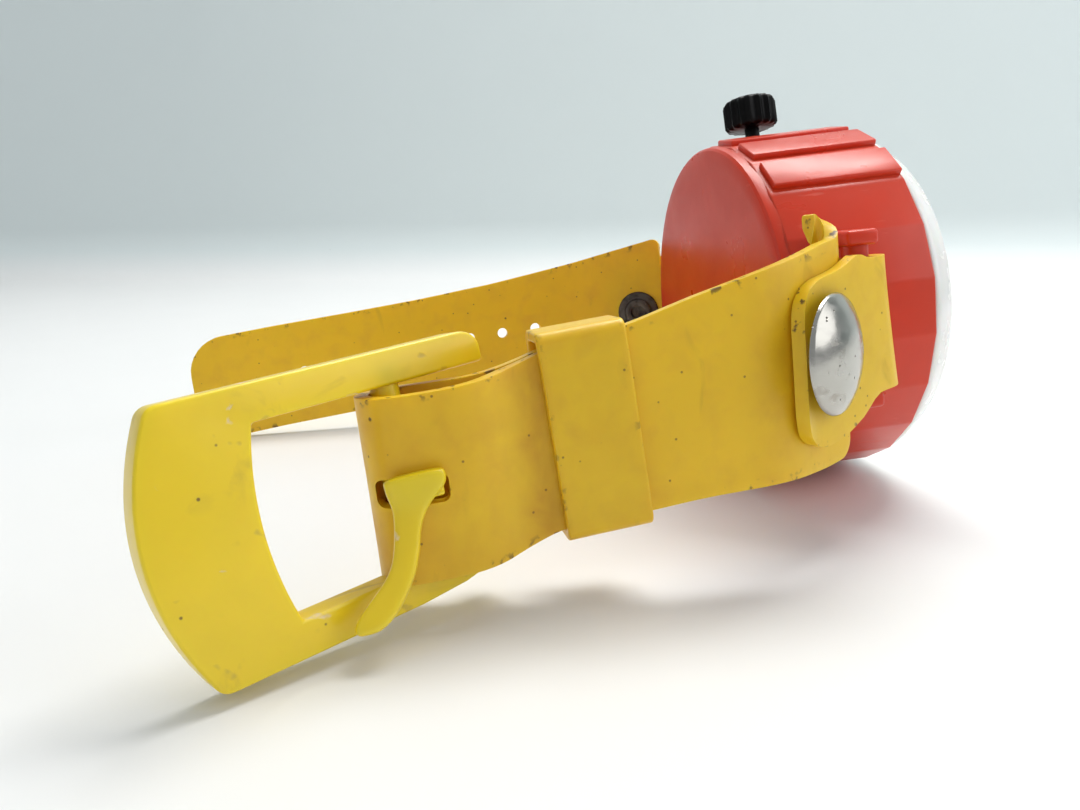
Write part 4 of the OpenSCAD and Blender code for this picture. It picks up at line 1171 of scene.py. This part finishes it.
class WATCH_OT_keeper(bpy.types.Operator):
    """Builds the keeper loop"""

    bl_idname = "toy_watch.keeper"
    bl_label = "Keeper"

    def execute(self, context):
        s, c = strap_sizes(), case_sizes()
        route = StrapRoute((0, -s.wrap), 0, MERGE_LEGS + SHORT_LEGS[:2])
        line = bench_point(route.at(route.length)[0], 0, s.short_splay).x
        wall, slot, gap = s.keeper_wall, s.keeper_slot, 0.1 * MM
        outer_corner, inner_corner, ripple, ripples = 1.3 * MM, 0.5 * MM, 0.05 * MM, 90
        opening = s.width + 1.1 * MM  # across the strap
        below = c.lug_z + s.keeper_at
        left = line - s.thickness / 2 - gap - wall
        sagged = -s.short_sag * softened(below, SHORT_SAG_SHARES, 0.1)
        centre = Vector((left + wall + slot / 2, sagged, c.lug_z - below))
        steps = 12
        levels = [s.keeper * (k / steps - 0.5) for k in range(steps + 1)]
        rings = [self.loop(slot / 2 + wall, opening / 2 + wall, outer_corner, z) for z in levels]
        rings += [self.loop(slot / 2, opening / 2, inner_corner, z) for z in reversed(levels)]
        rings.append(rings[0])
        obj = sheet("keeper_loop", [ring + ring[:1] for ring in rings])
        tidy(obj)
        soften(obj, 0.28 * MM, limit=50)
        for vertex in obj.data.vertices:
            x, y, z = vertex.co
            sway = noise.noise(Vector((x * ripples, y * ripples, z * ripples))) * ripple
            vertex.co += Vector((sway, sway, 0))
        rims = [abs(vertex.co.z) > s.keeper * 0.46 for vertex in obj.data.vertices]
        # Painted shade: the whole keeper gets the brown tint, a little more on its rims; the edge wear is on the
        # rims only.
        store(obj, grime=[0.4 if rim else 0.3 for rim in rims], edge=[0.4 if rim else 0.0 for rim in rims])
        place(obj, Matrix.Translation(centre) @ Matrix.Rotation(-s.keeper_tilt, 4, "X"))
        finished(obj, "keeper", "amber_vinyl", "keeper", smooth=40)
        return {"FINISHED"}

    @staticmethod
    def loop(half_x, half_y, corner, z):
        """Points round an oblong with rounded corners."""
        points = []
        for cx, cy, start, way in ((1, 1, 0, (-1, 0)), (-1, 1, 90, (0, -1)), (-1, -1, 180, (1, 0)),
                                   (1, -1, 270, (0, 1))):
            for k in range(7):
                turn = math.radians(start + 15 * k)
                points.append(Vector((cx * (half_x - corner) + corner * math.cos(turn),
                                      cy * (half_y - corner) + corner * math.sin(turn), z)))
            run = 2 * ((half_x if way[0] else half_y) - corner)
            last = points[-1]
            points += [last + Vector((*way, 0)) * run * k / 8 for k in range(1, 8)]
        return points


# Sections of the tongue's shank: millimetres down it, its middle across the strap, half its width there,
# and the share of its thickness
TONGUE_SECTIONS = [
    (-0.7, 0.95, 3.1, 1.0), (0.0, 0.95, 3.15, 1.0), (1.0, 0.95, 3.1, 1.0), (1.7, 0.6, 2.6, 1.0),
    (2.3, 0.25, 2.15, 1.0), (3.0, -0.1, 1.8, 1.0), (4.0, -0.55, 1.5, 1.0), (5.2, -0.95, 1.35, 1.0),
    (6.6, -1.3, 1.35, 1.0), (7.8, -1.75, 1.35, 1.0), (9.0, -2.4, 1.5, 1.0), (10.0, -3.25, 1.72, 1.0),
    (11.0, -4.2, 1.95, 0.98), (12.0, -5.15, 2.1, 0.95), (12.8, -5.85, 1.95, 0.85), (13.4, -6.3, 1.5, 0.7),
    (13.75, -6.5, 0.8, 0.45)]


class WATCH_OT_buckle(bpy.types.Operator):
    """Builds the buckle frame with its bar, and the tongue on it"""

    bl_idname = "toy_watch.buckle"
    bl_label = "Buckle and tongue"

    def execute(self, context):
        s = buckle_sizes()
        self.moulding(s)
        self.tongue(s)
        return {"FINISHED"}

    @staticmethod
    def outline(s):
        """Outline of the flat frame, from the window's upper side round the plate and back."""
        half, hole, near = s.width / 2, s.window / 2, s.reach - s.plate
        arm_round, plate_round = 2.6 * MM, 1.6 * MM

        def bowed(a, b, rise, steps=24):
            """Points from a to b on a shallow bow."""
            return [(a[0] + (b[0] - a[0]) * k / steps,
                     a[1] + (b[1] - a[1]) * k / steps - rise * (1 - (2 * k / steps - 1) ** 2))
                    for k in range(steps + 1)]

        def arm(tail, droop):
            """Outline of an arm from the window's side round its end to the plate's corner."""
            turns = [k * math.pi / 20 for k in range(11)]
            end = [(half - droop - arm_round * (1 - math.sin(t)) * 0.8, tail - arm_round * (1 - math.cos(t)))
                   for t in turns]
            return ([(hole, tail - 0.25 * MM), (hole + 0.25 * MM, tail)] + end
                    + [(half - droop * 0.3, tail - arm_round - 4 * MM), (half, -2 * MM),
                       (half, -s.reach + plate_round + 2.2 * MM)])

        turns = [k * math.pi / 14 for k in range(6)]
        corner = [(half - plate_round * (1 - math.cos(t)),
                   -s.reach + plate_round + 1.4 * MM - plate_round * math.sin(t)) for t in turns]
        y, z = corner[-1]
        lower = arm(s.arm_tail - 1.5 * MM, s.arm_droop) + corner
        outline = (arm(s.arm_tail, 0) + corner + bowed((y, z), (-y, z), s.plate_bow)[1:-1]
                   + [(-y, z) for y, z in reversed(lower)]
                   + bowed((-hole, -near), (hole, -near), s.window_bow))
        return [(y + s.shift, z) for y, z in outline]

    def moulding(self, s):
        """The frame as one moulding with its bar."""
        flat = plate("buckle_moulding", self.outline(s), s.thickness)
        soften(flat, 0.8 * MM, limit=45, segments=5)
        upright = Matrix(((0, 0, 1, 0), (1, 0, 0, 0), (0, 1, 0, 0), (0, 0, 0, 1)))  # from XY to YZ
        place(flat, upright)
        arm_at = (s.width + s.window) / 4
        bar = rod("bar", s.bar, (0, s.shift - arm_at, 0), (0, s.shift + arm_at, 0))
        obj = joined("buckle_moulding", flat, bar)
        finished(obj, "buckle", "lemon_plastic", "buckle_frame", matrix=bar_place(s.opening), smooth=35)

    def tongue(self, s):
        """The eye round the bar, the link through the strap's slot and the flared shank outside it."""
        gap, play = 0.3 * MM, 0.05 * MM  # between the fold and the shank, and round the bar
        root = -(FOLD_RADIUS * MM + strap_sizes().thickness / 2 + s.tongue / 2 + gap)
        shank = self.shank(s, root)
        bore, high = s.bar + play, s.tongue_root / 2
        eye_r = bore + 0.85 * MM
        eye = turned("tongue_eye", [(bore, -high), (eye_r, -high), (eye_r, high), (bore, high)], 48)
        soften(eye, 0.2 * MM)
        place(eye, Matrix.Rotation(math.pi / 2, 4, "X"))
        link = plate("tongue_link", [
            (-s.bar * 1.1, -eye_r * 0.8), (root, -eye_r * 0.75), (root, eye_r * 1.5),
            (root + 2.0 * MM, eye_r * 1.5), (-s.bar * 1.1, eye_r * 0.8)], s.tongue_root)
        soften(link, 0.3 * MM)
        on_edge = Matrix(((1, 0, 0, 0), (0, 0, -1, 0), (0, 1, 0, 0), (0, 0, 0, 1)))  # from XY to XZ
        place(link, on_edge)
        obj = joined("tongue_moulding", shank, eye, link)
        finished(obj, "tongue", "lemon_plastic", "buckle_tongue", matrix=bar_place(0), smooth=40)

    @staticmethod
    def shank(s, root):
        """The tongue's outer part, which bends away from the strap and flares at both ends."""
        legs = [(2.3, 0), (4.1667, -20), (4.1667, -6), (6.25, 0)]
        route = StrapRoute((root, s.tongue_root / 2), -90, legs)
        squareness, sides = 0.6, 20
        rings = []
        for run, mid, wide, full in TONGUE_SECTIONS:
            centre, way = route.at(max(0.0, run) * MM)
            centre = centre + Vector((0, max(0.0, -run) * MM))
            out = Vector((math.sin(way), -math.cos(way)))
            thick = s.tongue / 2 * full
            ring = []
            for k in range(sides):
                turn = 2 * math.pi * k / sides
                a, b = (math.copysign(abs(v) ** squareness, v) for v in (math.cos(turn), math.sin(turn)))
                spot = centre + out * thick * a
                ring.append(Vector((spot.x, spot.y, (mid + wide * b) * MM)))
            rings.append(ring)
        return apply_modifier(rolled("tongue_shank", rings), "SUBSURF", levels=2, render_levels=2)


class WATCH_OT_movement(bpy.types.Operator):
    """Gives the CAD nodes of the movement and the hands their finishes"""

    bl_idname = "toy_watch.movement"
    bl_label = "Movement and hands"

    def execute(self, context):
        made = finishes()
        slots = {part["node"]: part["material_slot"] for part in frame["record"]["subparts"]}
        for node, obj in frame["nodes"].items():
            obj.data.materials.clear()
            obj.data.materials.append(made[slots[node]])
        return {"FINISHED"}


class WATCH_OT_stage(bpy.types.Operator):
    """Builds the table with its backdrop, the lights and the camera"""

    bl_idname = "toy_watch.stage"
    bl_label = "Stage"

    camera_at = Vector((-0.119637, 0.0211, 0.044295))
    camera_turn = (75.8714, 1.5816, -101.0812)  # degrees
    ahead = Vector((0.953, -0.1798, 0))  # where the camera looks, level with the table

    def execute(self, context):
        self.table()
        self.lights()
        bpy.ops.object.camera_add(location=self.camera_at, rotation=[math.radians(a) for a in self.camera_turn])
        camera = bpy.context.object
        camera.name = "photo_camera"
        camera.data.sensor_width = 36
        camera.data.lens = 28.2125
        camera.data.clip_start, camera.data.clip_end = 0.005, 10
        bpy.context.scene.camera = camera
        bpy.context.scene.view_settings.view_transform = "Standard"
        return {"FINISHED"}

    def table(self):
        """A pale table that bends up into its backdrop, which stands a little askew."""
        c = colours()
        far, curve, askew = 0.441, 0.03, 0.3
        fade = 0.0155  # height over which the backdrop's colour comes in
        level = self.ahead.normalized()
        sideways = Vector((level.y, -level.x, 0))
        base = Vector((self.camera_at.x, self.camera_at.y, 0))
        bend = [(-0.6, 0), (0.0, 0), (far * 0.5, 0), (far, 0)]
        bend += [(far + curve * math.sin(t * math.pi / 24), curve - curve * math.cos(t * math.pi / 24))
                 for t in range(1, 13)]
        bend += [(far + curve, 0.6), (far + curve, 1.4)]
        rows = []
        for ahead, height in bend:
            skew = askew if ahead >= far else 0
            rows.append([
                base + level * (ahead - skew * max(-0.4, min(0.4, side))) + sideways * side + UP * height
                for side in (-1.6, -0.8, -0.4, -0.2, 0, 0.2, 0.4, 0.8, 1.6)])
        floor = sheet("table_and_backdrop", rows)
        bpy.ops.object.shade_smooth()
        f = Finish("table_paper", c.floor, 0.5, Specular_IOR_Level=0.35)
        split = f.node("ShaderNodeSeparateXYZ")
        f.feed(split.inputs[0], f.coords)
        f.tint(f.window(split.outputs["Z"], 0.0, fade), c.backdrop)
        f.tint(f.dots(55, 0.012), (0.35, 0.33, 0.3), 0.6)
        f.rough(f.speckle(40, 4, 0.3, 0.7), 0.1).raise_by(f.speckle(700, 4, 0.3, 0.7), 0.000004)
        floor.data.materials.append(f.made())

    @staticmethod
    def lights():
        """Soft light from all round, and three large lamps."""
        world = bpy.data.worlds.new("studio")
        bpy.context.scene.world = world
        world.use_nodes = True
        sky = world.node_tree.nodes["Background"].inputs
        sky["Color"].default_value = (0.92, 0.96, 1.0, 1)
        sky["Strength"].default_value = 0.48
        warm, cool = (1.0, 0.985, 0.96), (0.97, 0.98, 1.0)
        for name, spot, aim, size, power, tone in (
                ("key_light", (0.26, -0.24, 0.56), (-0.01, -0.02, 0.02), 0.46, 8.2, warm),
                ("right_light", (-0.25, -0.50, 0.30), (0, 0, 0.02), 0.4, 0.9, cool),
                ("left_light", (-0.15, 0.55, 0.30), (0, 0.02, 0.02), 0.4, 0.15, cool)):
            deselect()
            bpy.ops.object.light_add(type="AREA", location=spot)
            light = bpy.context.object
            light.name = name
            light.data.size, light.data.energy, light.data.color = size, power, tone
            light.rotation_euler = (Vector(aim) - Vector(spot)).to_track_quat("-Z", "Y").to_euler()


OPERATORS = (WATCH_OT_movement, WATCH_OT_case, WATCH_OT_front, WATCH_OT_knob, WATCH_OT_strap, WATCH_OT_rivets,
             WATCH_OT_keeper, WATCH_OT_buckle, WATCH_OT_stage)


class WATCH_PT_pieces(bpy.types.Panel):
    """Lists the pieces of the watch"""

    bl_label = "Toy Watch"
    bl_idname = "WATCH_PT_pieces"
    bl_space_type = "VIEW_3D"
    bl_region_type = "UI"
    bl_category = "Toy Watch"

    def draw(self, context):
        for operator in OPERATORS:
            self.layout.operator(operator.bl_idname, text=operator.bl_label)


def register():
    for group in GROUPS.values():
        bpy.utils.register_class(group)
    for name, group in GROUPS.items():
        setattr(bpy.types.Scene, name, PointerProperty(type=group))
    for made in (*OPERATORS, WATCH_PT_pieces):
        bpy.utils.register_class(made)


def unregister():
    for made in (WATCH_PT_pieces, *reversed(OPERATORS)):
        bpy.utils.unregister_class(made)
    for name, group in GROUPS.items():
        delattr(bpy.types.Scene, name)
        bpy.utils.unregister_class(group)


def main():
    register()
    for operator in OPERATORS:
        family, name = operator.bl_idname.split(".")
        getattr(getattr(bpy.ops, family), name)()


if __name__ == "__main__":
    main()
